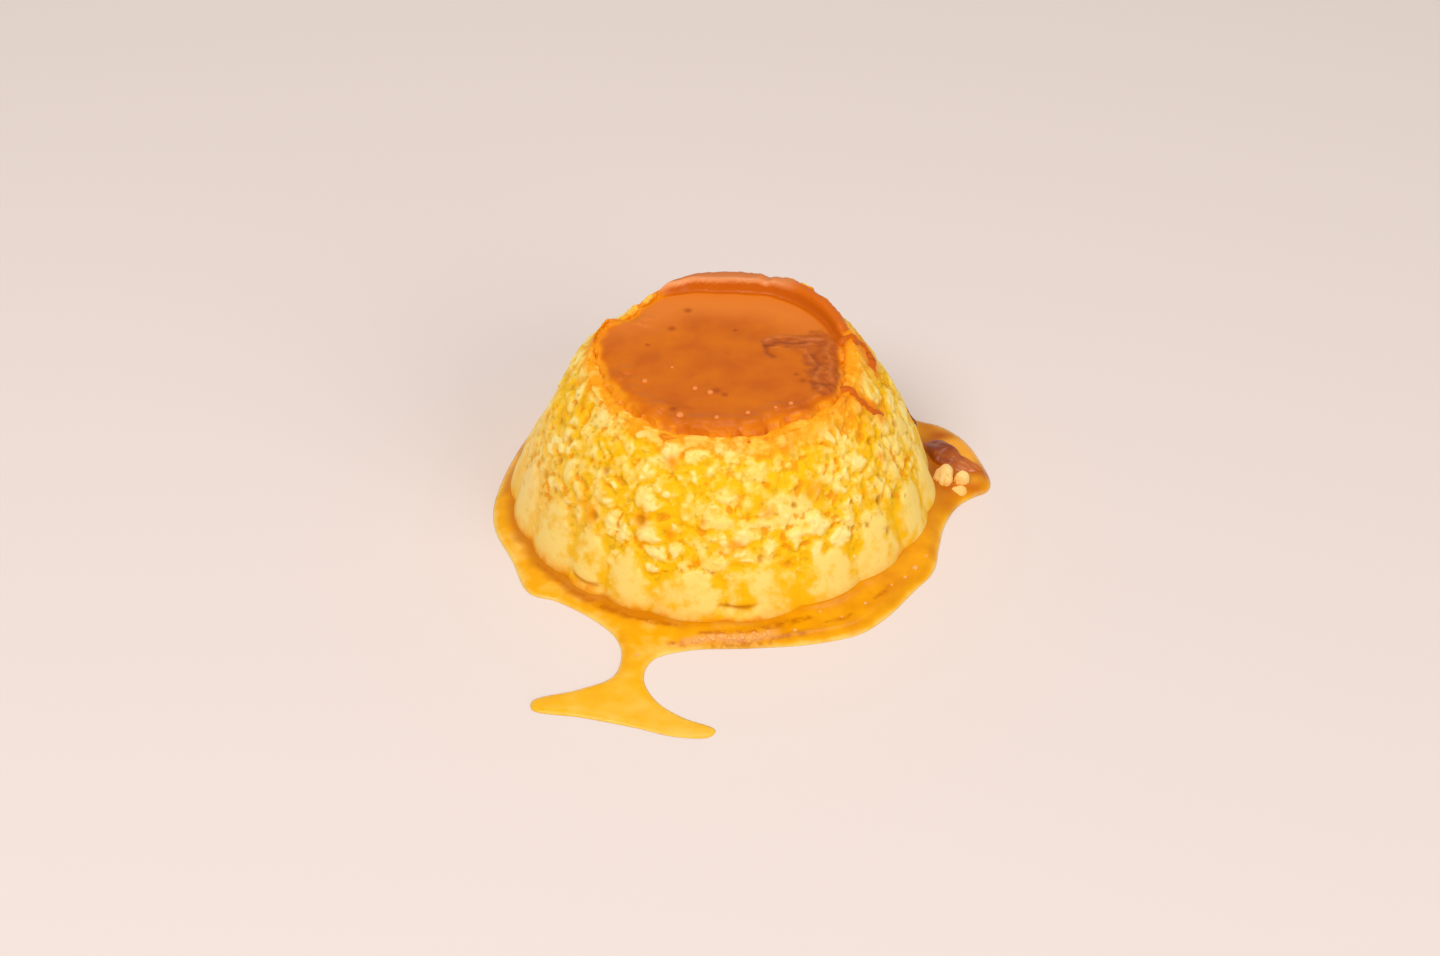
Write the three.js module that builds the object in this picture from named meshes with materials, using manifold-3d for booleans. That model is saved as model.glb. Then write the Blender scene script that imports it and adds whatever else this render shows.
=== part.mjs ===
// A small creme caramel, turned out of a fluted mould, with the caramel that lies on its top and the sauce
// that has run down and spread round its foot. Millimetres, +Z up. The origin is the middle of the custard's
// flat base, on the surface that it stands on. The front, where the sauce has run out furthest, faces -Y.

import * as THREE from "three";
import { mergeVertices } from "three/addons/utils/BufferGeometryUtils.js";
import Module from "manifold-3d";

const wasm = await Module();
wasm.setup();

// Custard: its side leans in by SIDE_TAPER for each millimetre up, and domes in by SIDE_DOME at BODY_HEIGHT
const BASE_RADIUS = 41.4;
const BODY_HEIGHT = 33;
const SIDE_TAPER = 0.27;
const SIDE_DOME = 7;
const SIDE_DOME_POWER = 2.6;
const FOOT_ROUND = 0.8;
const SHOULDER_ROUND = 0.5;

// Flutes: the valleys that can be told apart at the front, then evenly spaced ones round the back
const FRONT_VALLEYS = [206, 224, 237, 250.5, 271, 291.5, 310];
const BACK_FLUTES = 14;
const FIRST_VALLEY = FRONT_VALLEYS[0];
const LAST_VALLEY = FRONT_VALLEYS[FRONT_VALLEYS.length - 1];
const BACK_PITCH = (FIRST_VALLEY + 360 - LAST_VALLEY) / BACK_FLUTES;
const VALLEYS = [...FRONT_VALLEYS];
for (let n = 1; n <= BACK_FLUTES; n++) VALLEYS.push(LAST_VALLEY + n * BACK_PITCH);
const FLUTE_DEPTH = 1.1;
const FLUTE_FADE = 8.5;
const FLUTE_TOP = 19;
const FLUTE_ROUNDNESS = 0.55;

// Curds: lumps of about CURD_SIZE that stand out above the smooth foot of the side
const CURD_SIZE = 4.2;
const CURD_DEPTH = 1.6;
const CURD_START = 9;
const CURD_FULL = 17;
const FOOT_CURD_SHARE = 0.12;

// Where the shoulder has slumped: how far it falls in at the top, or leans out where negative, by degrees
// from +X towards +Y
const SLUMP = [
  [10, 0], [22, -0.5], [36, -0.7], [56, -1.4], [66, -0.2], [84, 0], [100, 0.4], [112, 1.1], [122, 2],
  [134, 3.2], [148, 3.4], [157, 1.2], [172, 0.6], [200, 0],
];
const SLUMP_START = 22;
const SLUMP_FULL = 34;

// A wide dent in the left side, and a bulge of the foot at the right
const DENT = { angle: 164, height: 16, halfWidth: 17, halfHeight: 9, depth: 2.6 };
const FOOT_BULGE = { angle: 350, halfWidth: 17, top: 4, depth: 0.8 };

// Caramel on the top, in a shallow hollow of the custard
const CARAMEL_TOP = 33.2;
const CARAMEL_THICKNESS = 1.2;
const CARAMEL_EDGE_ROUND = 0.9;
const CARAMEL_SAG = 0.15;
const GAP = 0.3;
const HOLLOW_FLOOR = CARAMEL_TOP - CARAMEL_THICKNESS - GAP;

// Distance of the caramel's edge from the middle, by degrees from +X towards +Y
const CARAMEL_EDGE = [
  [0, 21.8], [8, 21.6], [15, 20.8], [40, 20.5], [62, 20.1], [78, 19], [92, 18.9], [110, 20], [121, 20.7],
  [134, 19.9], [148, 20.2], [154, 21], [164, 22.7], [175, 23], [192, 22.6], [209, 22.8], [220, 23.4],
  [233, 24.2], [250, 25], [277, 24.9], [287, 25.2], [292, 24.1], [301, 23.4], [310, 24.5], [317, 24],
  [325, 25], [334, 23.9], [348, 22.3],
];
// Height of the custard's rim above the caramel's surface: a torn lip round the back, and none at the front
const RIM_RISE = [
  [352, -0.7], [6, 1], [18, 1.9], [42, 2.4], [64, 2.5], [67, 2.1], [71, 2.6], [102, 2.4], [116, 1.9],
  [124, 1.2], [130, 0.8], [137, 0.5], [143, -0.1], [150, -0.1], [157, 1.1], [166, 1], [180, 0.2],
  [196, -0.6], [214, -1.1], [320, -1.1],
];
const RIM_LEAN = 0.35;
const THIN_RIM = 0.4;

// Sauce round the foot: the width of its narrow ring round the back, by degrees, which all but ends at the
// back left, and then its outline from the left, down the run at the front with its spread foot, to the wide
// patch at the right
const BACK_WIDTHS = [
  [50, 2.6], [65, 2.6], [80, 2.6], [95, 2.6], [110, 2.6], [125, 2.6], [140, 2.1], [155, 0.8], [167, 0.8],
];
const FRONT_OUTLINE = [
  [-42.7, 3.2], [-43.9, -5.5], [-43.2, -12.4], [-39.6, -21.5], [-35.8, -31.4], [-30.6, -33.8], [-23.6, -39.2],
  [-19.4, -44.4], [-18.3, -49.6], [-19.8, -55.2], [-26, -58.7], [-33.8, -61.6], [-33.8, -64.2], [-25, -66.2],
  [-15.5, -68.9], [-8, -71.4], [-2.2, -71.4], [-1.2, -69.5], [-7, -66.2], [-11.6, -62], [-14.1, -55.6],
  [-12.4, -50.4], [-6, -47.8], [5, -47.2], [16, -46.1], [25.2, -43.2], [30.2, -38.6], [35.6, -31],
  [39.6, -25], [41, -18], [42.5, -11], [45.2, -5.2], [48.4, -2.2], [51.3, -0.3], [52.1, 2.4], [50.7, 9],
  [47.8, 16.2], [43.6, 20.9], [38.4, 23.4],
];
const OUTLINE_STEPS = 150;
const POOL_THICKNESS = 1.3;
const POOL_EDGE = 0.4;
const POOL_BEVEL_WIDTH = 0.7;
const POOL_BEVEL_STEPS = 3;
const MENISCUS_HEIGHT = 2;
const MENISCUS_WIDTH = 2.4;
const MENISCUS_LIP = 0.5;
const MENISCUS_SHARE = [[50, 1], [140, 1], [155, 0.3], [168, 0.3], [183, 1]];

// Broken pieces that lie in the sauce at the right: three of custard, and a longer one of set caramel. Each
// has its middle, its half length, width and height, and its turn in degrees.
const BROKEN_PIECES = [
  { middle: [43.1, 2.4, 1.9], half: [2, 1.8, 2.1], turn: 60 },
  { middle: [46.5, 1.6, 1.6], half: [1.6, 1.3, 1.8], turn: 100 },
  { middle: [45.2, -1.6, 1.1], half: [1.5, 1.1, 1.3], turn: 10 },
  { middle: [45.4, 8.3, 1], half: [7, 2.5, 1.9], turn: -41 },
];
const BROKEN_ROUGHNESS = 0.5;

// Fineness of the meshes
const AROUND = 132;
const SIDE_ROWS = 24;

const SHADES = {
  custard: { color: 0xfcc84f, roughness: 0.45 },
  caramel: { color: 0xd46a1f, roughness: 0.18 },
  sauce: { color: 0xf79c05, roughness: 0.12 },
};

const smooth = (low, high, x) => THREE.MathUtils.smoothstep(x, low, high);

// A value read from a list of [degrees, value] round the whole circle, eased between its entries
function aroundCircle(list, degrees) {
  const sorted = [...list].sort((a, b) => a[0] - b[0]);
  const angle = THREE.MathUtils.euclideanModulo(degrees, 360);
  const next = sorted.findIndex((entry) => entry[0] > angle);
  const after = next < 0 ? sorted[0] : sorted[next];
  const before = next > 0 ? sorted[next - 1] : sorted[sorted.length - 1];
  const span = THREE.MathUtils.euclideanModulo(after[0] - before[0], 360);
  const along = THREE.MathUtils.euclideanModulo(angle - before[0], 360) / span;
  return THREE.MathUtils.lerp(before[1], after[1], smooth(0, 1, along));
}

// A repeatable number from 0 to 1 for each cell of a lattice
function cellNumber(i, j, k, salt) {
  const wave = Math.sin(i * 127.1 + j * 311.7 + k * 74.7 + salt * 53.3) * 43758.5453;
  return wave - Math.floor(wave);
}

// Distance from a point to the nearest of the scattered curd middles, as a share of the curds' size
function distanceToCurd(point) {
  const cell = point.clone().divideScalar(CURD_SIZE);
  const [i, j, k] = [Math.floor(cell.x), Math.floor(cell.y), Math.floor(cell.z)];
  let nearest = Infinity;
  for (let a = i - 1; a <= i + 1; a++) {
    for (let b = j - 1; b <= j + 1; b++) {
      for (let c = k - 1; c <= k + 1; c++) {
        const middle = new THREE.Vector3(
          a + cellNumber(a, b, c, 1),
          b + cellNumber(a, b, c, 2),
          c + cellNumber(a, b, c, 3),
        );
        nearest = Math.min(nearest, middle.distanceTo(cell));
      }
    }
  }
  return nearest;
}

function curdRelief(point) {
  const share = THREE.MathUtils.lerp(FOOT_CURD_SHARE, 1, smooth(CURD_START, CURD_FULL, point.z));
  return CURD_DEPTH * share * (0.5 - distanceToCurd(point));
}

// How far a flute's valley cuts in at an angle and a height
function fluteCut(degrees, z) {
  const angle = FIRST_VALLEY + THREE.MathUtils.euclideanModulo(degrees - FIRST_VALLEY, 360);
  const passed = VALLEYS.filter((valley) => valley <= angle).length;
  const next = THREE.MathUtils.clamp(passed, 1, VALLEYS.length - 1);
  const along = THREE.MathUtils.mapLinear(angle, VALLEYS[next - 1], VALLEYS[next], 0, 1);
  const lobe = Math.max(0, Math.sin(Math.PI * along)) ** FLUTE_ROUNDNESS;
  return FLUTE_DEPTH * (1 - lobe) * (1 - smooth(FLUTE_FADE, FLUTE_TOP, z));
}

// A rounded share from 0 to 1 of how near an angle is to another, within a half width
function nearAngle(degrees, { angle, halfWidth }) {
  const across = THREE.MathUtils.euclideanModulo(degrees - angle + 180, 360) - 180;
  return Math.exp(-((across / halfWidth) ** 2));
}

// Radius of the side at an angle and a height, without its curds
function sideRadius(degrees, z) {
  const domed = BASE_RADIUS - SIDE_TAPER * z - SIDE_DOME * (z / BODY_HEIGHT) ** SIDE_DOME_POWER;
  const slump = aroundCircle(SLUMP, degrees) * smooth(SLUMP_START, SLUMP_FULL, z);
  const dentHeight = Math.exp(-(((z - DENT.height) / DENT.halfHeight) ** 2));
  const dent = DENT.depth * nearAngle(degrees, DENT) * dentHeight;
  const bulge = FOOT_BULGE.depth * nearAngle(degrees, FOOT_BULGE) * Math.max(0, 1 - z / FOOT_BULGE.top);
  return domed - slump - dent + bulge - fluteCut(degrees, z);
}

const caramelEdge = (degrees) => aroundCircle(CARAMEL_EDGE, degrees);
const rimHeight = (degrees) => CARAMEL_TOP + aroundCircle(RIM_RISE, degrees);
const rimOuter = (degrees) => sideRadius(degrees, rimHeight(degrees)) - SHOULDER_ROUND;

// A closed solid from rings of { radius, z } by angle, between a middle point below and one above
function solidOfRings(rings, bottomZ, topZ, relief = () => 0) {
  const positions = [0, 0, bottomZ];
  for (const ring of rings) {
    for (let n = 0; n < AROUND; n++) {
      const degrees = (360 * n) / AROUND;
      const angle = THREE.MathUtils.degToRad(degrees);
      const { radius, z, rough } = ring(degrees);
      const point = new THREE.Vector3(radius * Math.cos(angle), radius * Math.sin(angle), z);
      const out = radius + (rough ?? 0) * relief(point);
      positions.push(out * Math.cos(angle), out * Math.sin(angle), z);
    }
  }
  const top = positions.length / 3;
  positions.push(0, 0, topZ);
  const faces = [];
  const at = (row, n) => 1 + row * AROUND + (n % AROUND);
  for (let n = 0; n < AROUND; n++) {
    faces.push(0, at(0, n + 1), at(0, n));
    for (let row = 0; row + 1 < rings.length; row++) {
      const [a, b, c, d] = [at(row, n), at(row, n + 1), at(row + 1, n + 1), at(row + 1, n)];
      faces.push(a, b, c, a, c, d);
    }
    faces.push(top, at(rings.length - 1, n), at(rings.length - 1, n + 1));
  }
  const geometry = new THREE.BufferGeometry();
  geometry.setAttribute("position", new THREE.Float32BufferAttribute(positions, 3));
  geometry.setIndex(faces);
  return geometry;
}

// The custard, from its flat base up the fluted side, over the rim and down into the hollow of its top
function custardGeometry() {
  const rings = [(degrees) => ({ radius: sideRadius(degrees, 0) - FOOT_ROUND, z: 0 })];
  for (let row = 0; row < SIDE_ROWS; row++) {
    const share = row / (SIDE_ROWS - 1);
    rings.push((degrees) => {
      const z = THREE.MathUtils.lerp(FOOT_ROUND, rimHeight(degrees) - SHOULDER_ROUND, share);
      const rough = smooth(0, 0.1, share) * (1 - 0.6 * smooth(0.9, 1, share));
      return { radius: sideRadius(degrees, z), z, rough };
    });
  }
  const hollowEdge = (degrees) => caramelEdge(degrees) + GAP;
  const rimInner = (degrees) => {
    const leaning = hollowEdge(degrees) + RIM_LEAN * (rimHeight(degrees) - HOLLOW_FLOOR);
    return Math.min(leaning, rimOuter(degrees) - THIN_RIM);
  };
  rings.push(
    (degrees) => ({ radius: rimOuter(degrees), z: rimHeight(degrees) }),
    (degrees) => ({ radius: rimInner(degrees), z: rimHeight(degrees) }),
    (degrees) => ({ radius: hollowEdge(degrees), z: HOLLOW_FLOOR }),
    (degrees) => ({ radius: 0.6 * hollowEdge(degrees), z: HOLLOW_FLOOR }),
  );
  return solidOfRings(rings, 0, HOLLOW_FLOOR, curdRelief);
}

// The caramel on top: a thin slab with a rounded edge, with a faint sag towards its middle
function caramelGeometry() {
  const under = CARAMEL_TOP - CARAMEL_THICKNESS;
  const at = (inset, z) => (degrees) => ({ radius: caramelEdge(degrees) - inset, z });
  const rings = [
    at(CARAMEL_EDGE_ROUND / 3, under),
    at(0, under + CARAMEL_THICKNESS / 3),
    at(CARAMEL_EDGE_ROUND / 4, under + 0.8 * CARAMEL_THICKNESS),
    at(CARAMEL_EDGE_ROUND, CARAMEL_TOP),
    (degrees) => ({ radius: 0.6 * caramelEdge(degrees), z: CARAMEL_TOP - CARAMEL_SAG / 2 }),
  ];
  return solidOfRings(rings, under, CARAMEL_TOP - CARAMEL_SAG);
}

// A fluted plug with the shape of the custard's foot, grown outwards by one amount below and another above,
// each a function of the angle
function footPlug(growBelow, growAbove, fromZ, toZ) {
  const ring = (z, grow) => (degrees) => ({ radius: sideRadius(degrees, Math.max(z, 0)) + grow(degrees), z });
  return solidOfRings([ring(fromZ, growBelow), ring(toZ, growAbove)], fromZ, toZ);
}

// A rough lump, turned and set in its place
function brokenPieceGeometry({ middle, half, turn }) {
  const geometry = new THREE.IcosahedronGeometry(1, 3).scale(...half);
  geometry.rotateZ(THREE.MathUtils.degToRad(turn)).translate(...middle);
  const position = geometry.getAttribute("position");
  const centre = new THREE.Vector3(...middle);
  for (let n = 0; n < position.count; n++) {
    const point = new THREE.Vector3().fromBufferAttribute(position, n);
    const lump = BROKEN_ROUGHNESS * (0.5 - distanceToCurd(point.clone().multiplyScalar(2)));
    point.addScaledVector(point.clone().sub(centre).normalize(), lump);
    position.setXYZ(n, point.x, point.y, point.z);
  }
  return geometry;
}

function manifoldOf(geometry) {
  const bare = new THREE.BufferGeometry().setAttribute("position", geometry.getAttribute("position"));
  bare.setIndex(geometry.index);
  const merged = mergeVertices(bare, 1e-4);
  return new wasm.Manifold(
    new wasm.Mesh({
      numProp: 3,
      vertProperties: new Float32Array(merged.getAttribute("position").array),
      triVerts: new Uint32Array(merged.index.array),
    }),
  );
}

function geometryOf(manifold) {
  const mesh = manifold.getMesh();
  const geometry = new THREE.BufferGeometry();
  geometry.setAttribute("position", new THREE.Float32BufferAttribute(mesh.vertProperties, 3));
  geometry.setIndex(new THREE.Uint32BufferAttribute(mesh.triVerts, 1));
  return geometry;
}

// The sauce: a thin round-edged sheet of the pool's outline that climbs the custard's foot, cut round it
function poolGeometry() {
  const marks = FRONT_OUTLINE.map(([x, y]) => new THREE.Vector3(x, y, 0));
  for (const [degrees, width] of BACK_WIDTHS) {
    const angle = THREE.MathUtils.degToRad(degrees);
    const reach = BASE_RADIUS + width;
    marks.push(new THREE.Vector3(reach * Math.cos(angle), reach * Math.sin(angle), 0));
  }
  const route = new THREE.CatmullRomCurve3(marks, true, "centripetal");
  const points = route.getSpacedPoints(OUTLINE_STEPS).slice(0, OUTLINE_STEPS);
  const outline = new THREE.Shape(points.map((point) => new THREE.Vector2(point.x, point.y)));
  const sheet = new THREE.ExtrudeGeometry(outline, {
    depth: 2 * POOL_EDGE,
    bevelThickness: POOL_THICKNESS - POOL_EDGE,
    bevelSize: POOL_BEVEL_WIDTH,
    bevelOffset: -POOL_BEVEL_WIDTH,
    bevelSegments: POOL_BEVEL_STEPS,
  }).translate(0, 0, -POOL_EDGE);
  const below = new THREE.BoxGeometry(300, 300, 10).translate(0, 0, -5);
  const share = (degrees) => aroundCircle(MENISCUS_SHARE, degrees);
  const lip = (degrees) => MENISCUS_LIP * (2 * share(degrees) - 1);
  const meniscus = footPlug((degrees) => MENISCUS_WIDTH * share(degrees), lip, 0, MENISCUS_HEIGHT);
  const foot = footPlug(() => GAP, () => GAP, -1, MENISCUS_HEIGHT + 1);
  let sauce = manifoldOf(sheet).add(manifoldOf(meniscus));
  for (const lump of BROKEN_PIECES) sauce = sauce.add(manifoldOf(brokenPieceGeometry(lump)));
  return geometryOf(sauce.subtract(manifoldOf(foot)).subtract(manifoldOf(below)));
}

function piece(name, geometry, shade) {
  geometry.computeVertexNormals();
  const mesh = new THREE.Mesh(geometry, new THREE.MeshStandardMaterial({ metalness: 0, ...shade }));
  mesh.name = name;
  return mesh;
}

const cremeCaramel = new THREE.Group();
cremeCaramel.add(
  piece("custard", custardGeometry(), SHADES.custard),
  piece("caramel_top", caramelGeometry(), SHADES.caramel),
  piece("caramel_pool", poolGeometry(), SHADES.sauce),
);

export default cremeCaramel;
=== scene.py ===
# The looks of a small creme caramel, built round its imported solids. Sizes are in millimetres, angles in
# degrees from +X towards +Y, and colours are the sRGB values that the eye sees. Blender's units are metres.

import math
import random

import bmesh
import bpy
import numpy as np
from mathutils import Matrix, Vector, noise
from mathutils.bvhtree import BVHTree
from mathutils.geometry import delaunay_2d_cdt
from mathutils.kdtree import KDTree


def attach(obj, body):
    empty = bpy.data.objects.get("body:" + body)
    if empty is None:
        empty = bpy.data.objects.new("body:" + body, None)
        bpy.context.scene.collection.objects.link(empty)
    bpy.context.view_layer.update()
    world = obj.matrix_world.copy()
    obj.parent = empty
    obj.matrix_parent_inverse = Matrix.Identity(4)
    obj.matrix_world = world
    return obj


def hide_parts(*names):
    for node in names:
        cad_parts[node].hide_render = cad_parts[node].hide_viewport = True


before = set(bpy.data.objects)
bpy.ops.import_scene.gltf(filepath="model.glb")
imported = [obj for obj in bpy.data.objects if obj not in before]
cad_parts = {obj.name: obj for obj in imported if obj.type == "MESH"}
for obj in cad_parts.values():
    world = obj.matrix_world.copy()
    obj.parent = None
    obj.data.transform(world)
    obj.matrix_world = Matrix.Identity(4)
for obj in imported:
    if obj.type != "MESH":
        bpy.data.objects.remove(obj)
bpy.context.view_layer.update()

MM = 0.001

# The custard's side: it leans in by SIDE_TAPER for each millimetre up, and domes in by SIDE_DOME at its top
BASE_RADIUS = 41.4
BODY_HEIGHT = 33
SIDE_TAPER = 0.27
SIDE_DOME = 7
SIDE_DOME_POWER = 2.6
FOOT_ROUND = 0.8

# Flutes: their valleys, and the arched top of each smooth lobe between them
FRONT_VALLEYS = [206, 224, 237, 250.5, 271, 291.5, 310]
BACK_FLUTES = 14
FLUTE_DEPTH = 1.0
FLUTE_ROUNDNESS = 0.75
LOBE_TOPS = [14, 13.5, 12, 10.5, 13, 12.5]
BACK_LOBE_TOP = 12.5
BACK_LOBE_SPREAD = 2
ARCH_SHARE = 0.38
ARCH_POWER = 0.7
# How far below and above the top of its arch a lobe fades into the curds
LOBE_FADE = (4, 6)

# How far the shoulder has slumped inwards at the top, or outwards where negative
SLUMP = [
    (10, 0), (22, -0.5), (36, -0.7), (56, -1.4), (66, -0.2), (84, 0), (100, 0.4), (112, 1.1), (122, 2),
    (134, 3.2), (148, 3.4), (157, 1.2), (172, 0.6), (200, 0),
]
SLUMP_START = 22
SLUMP_FULL = 34

# The caramel on top: its level, the distance of its edge from the middle, and the rim's height above it
CARAMEL_TOP = 33.2
CARAMEL_THICKNESS = 1.2
CARAMEL_SAG = 0.12
HOLLOW_FLOOR = 31.7
HOLLOW_GAP = 0.3
HIDDEN_OVERLAP = 0.2
CARAMEL_EDGE = [
    (0, 21.8), (8, 21.6), (15, 20.8), (40, 20.5), (62, 20.1), (78, 19), (92, 18.9), (110, 20),
    (121, 20.7), (134, 19.9), (148, 20.2), (154, 21), (164, 22.7), (175, 23), (192, 22.6), (209, 22.8),
    (220, 23.4), (233, 24.2), (250, 25), (277, 24.9), (287, 25.2), (292, 24.1), (301, 23.4), (310, 24.5),
    (317, 24), (325, 25), (334, 23.9), (348, 22.3),
]
RIM_RISE = [
    (352, -0.7), (6, 1.0), (18, 1.9), (42, 2.4), (64, 2.5), (67, 2.1), (71, 2.6), (102, 2.4), (116, 1.9),
    (124, 1.2), (130, 0.8), (137, 0.5), (143, -0.1), (150, -0.1), (157, 1.1), (166, 1.0), (180, 0.2),
    (196, -0.6), (214, -1.1), (320, -1.1),
]
RIM_LEAN = 0.35
RIM_ROUND = 0.7

# A wide dent in the side, given as the patches below are, with its depth for strength
DENT = (164, 16, 17, 9, 2.6)
# Bulge low on the side: angle, half width in degrees, height where it fades out, depth
FOOT_BULGE = (350, 17, 4, 0.8)
# Small folds low on the side: angle, height, half width in degrees, depth
FOOT_FOLDS = [(274, 3.0, 5, 0.75), (230.5, 2.3, 5, 0.6)]
FOLD_THICKNESS = 0.7
FOLD_END_RISE = 0.6
# The swelling under a fold: how far below its middle is, how thick it is, and its share of the fold's depth
FOLD_SWELLING = (1.6, 0.9, 0.5)

# The curds' relief, and how strong it is round the side
CURD_SIZE = 4.4
CURD_DEPTH = 1.2
CURD_LEVEL = 0.86
PIT_SIZE = 0.8
PIT_DEPTH = 0.45
POCKET_DEPTH = 0.3
CURD_STRENGTH = [(160, 0.7), (205, 0.85), (228, 1), (305, 1), (330, 0.9), (0, 0.85), (90, 0.9)]
# Single holes in the side: angle, height and radius
HOLES = [
    (3.3, 24.4, 1.0), (348.9, 21.2, 0.8), (319.8, 29.5, 0.9), (330.2, 23.9, 0.7), (333.8, 19.9, 0.7),
    (323.3, 8.5, 0.8), (323.7, 14.4, 0.8), (330.8, 12.9, 0.6), (338, 16.5, 0.7), (327, 18, 0.5),
    (316, 12, 0.5), (228, 23.1, 0.8), (244.6, 17.5, 0.9), (229.4, 15.3, 0.8), (207.7, 19.4, 0.7),
    (203.6, 14.9, 0.8), (192.3, 12.3, 0.7), (207.8, 23.3, 0.6), (211, 14.6, 0.6), (293.3, 20.4, 0.6),
    (280.7, 12.2, 0.6), (196.9, 23.8, 0.7), (190, 28.5, 0.7), (199, 28, 0.6), (182, 24, 0.7),
    (187, 20.5, 0.6), (185, 15, 0.7), (60, 15, 0.8), (80, 22, 0.9), (120, 18, 0.7), (145, 12, 0.8),
    (30, 12, 0.7),
]

# Patches of the side that are pitted, golden, pale and orange; the pale one is painted light, the left side
# made paler where the light falls on it. Each has its angle and height, its half widths round and up, and its
# strength.
PITTED = [
    (188, 18, 20, 9, 1), (186, 27, 24, 5, 0.6), (197, 9, 14, 5, 0.9), (322, 14, 15, 8, 0.9),
    (335, 21, 14, 7, 0.8), (0, 16, 30, 8, 0.5),
]
GOLDEN = [
    (252, 21, 20, 7, 0.4), (268, 14, 12, 5, 0.3), (285, 24, 14, 4, 0.25), (300, 28, 16, 3, 0.45),
    (230, 25, 14, 5, 0.3), (330, 27, 10, 4, 0.3), (90, 20, 60, 8, 0.2), (185, 27, 22, 5, 0.2),
    (5, 27, 16, 6, 0.3), (347.1, 29.4, 4, 1.6, 0.8), (221, 19, 6, 5, 0.5), (207, 28.5, 7, 2.4, 0.35),
    (332, 22, 5, 3, 0.3),
]
LIT_LEFT_SIDE = (192, 11, 26, 9, 0.8)
ORANGE = [
    (10, 31, 14, 3, 0.9), (345.5, 32.2, 3.5, 1, 1), (334, 29, 7, 3, 0.7), (345, 25.3, 4, 1.4, 0.8),
    (320, 29.6, 3, 1.2, 1), (306, 31, 7, 2, 0.8), (295, 29.4, 3, 1.6, 0.7), (252, 28, 2.6, 1.2, 0.9),
    (245, 18, 2.4, 1.6, 0.9), (228.5, 15.5, 2, 1.8, 0.9), (254.5, 16.5, 1.6, 1.2, 0.9),
    (301, 22, 4, 1.6, 0.7), (193, 30.5, 3, 1, 0.5), (203.5, 29, 2, 1, 0.6), (180, 28, 2, 1.2, 0.5),
    (196, 25.5, 2, 0.8, 0.5), (0, 32.4, 4, 1, 0.5), (339, 28.5, 3, 1, 0.5), (341, 24.6, 2, 1.2, 0.6),
    (284, 20.5, 2.6, 1, 0.7), (274, 15.3, 2.6, 1, 0.7), (264, 19, 1.2, 0.8, 0.8),
    (331, 20.6, 1.8, 1, 0.7), (224, 16.5, 2.4, 1.6, 0.5), (318.5, 17.5, 1.6, 1, 0.6),
]
ORANGE_STRENGTH = 1.3

# How far caramel coats the custard outwards from the lip of its hollow, how far it tinges it, and how high
# the sauce has soaked in
COATED = [
    (0, 0.8), (7, 1.6), (14, 3.2), (20, 3.6), (42, 4.0), (62, 4.2), (100, 4.6), (116, 4), (126, 1),
    (150, 1), (157, 2.4), (168, 1.8), (182, 1.0), (192, 0.8), (215, 1.1), (238, 0.6), (262, 0.3),
    (290, 0.5), (304, 1.0), (335, 1),
]
TINGED = [
    (0, 7), (20, 7), (60, 5), (130, 5), (165, 6), (205, 6), (230, 5.5), (270, 5), (292, 7), (325, 8.5),
]
SOAKED = [
    (180, 1.8), (205, 2.2), (232, 2.0), (262, 1.3), (285, 1.5), (303, 1.6), (318, 1.6), (326, 2.4),
    (335, 1.4), (350, 1.2), (20, 1.4), (90, 1.6),
]

# Rings and rows of the caramel on top. The rows are where it leaves the level and runs onto the custard, from
# inside its edge to past its reach, and the last of them is buried.
CARAMEL_AROUND = 640
CARAMEL_RINGS = 60
RUN_ROWS = 44
RUN_FROM = -3
RUN_PAST = 1.2
RUN_BURIED = 1
EDGE_FALL = 1.15
LIP_SLOPE = 1.6
# How far the edge strays, by the size of its waves
EDGE_WANDER = [(1.0, 3.6), (1.0, 1.7), (0.7, 0.9), (0.3, 0.5)]
# The thin film where it runs out on the custard, and how deep its end is sunk
FILM_THICKNESS = 0.14
FILM_FADE = 2.2
FILM_BURIED = 0.7
# How wide the caramel thins out towards its edge, how wide the paler line along its free edge is, and where
# the thin edge is a golden film, as shares
THINNED = [
    (150, 0.8), (175, 1.1), (195, 1.4), (215, 1.7), (240, 2), (270, 2.8), (300, 2), (330, 1), (352, 0.8),
    (20, 0.3),
]
FREE_EDGE = 0.9
GOLDEN_FILM = [(150, 0.4), (172, 1), (225, 1), (240, 0.4), (262, 0.1), (300, 0.1), (330, 0.1)]
# Where the rim stands up as a dark inner wall, and where its crest catches the light, as shares
WALLED = [(2, 0), (12, 1), (116, 1), (126, 0)]
LIT_CREST = [(48, 0), (66, 0.8), (76, 1), (118, 1), (128, 0)]
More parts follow.
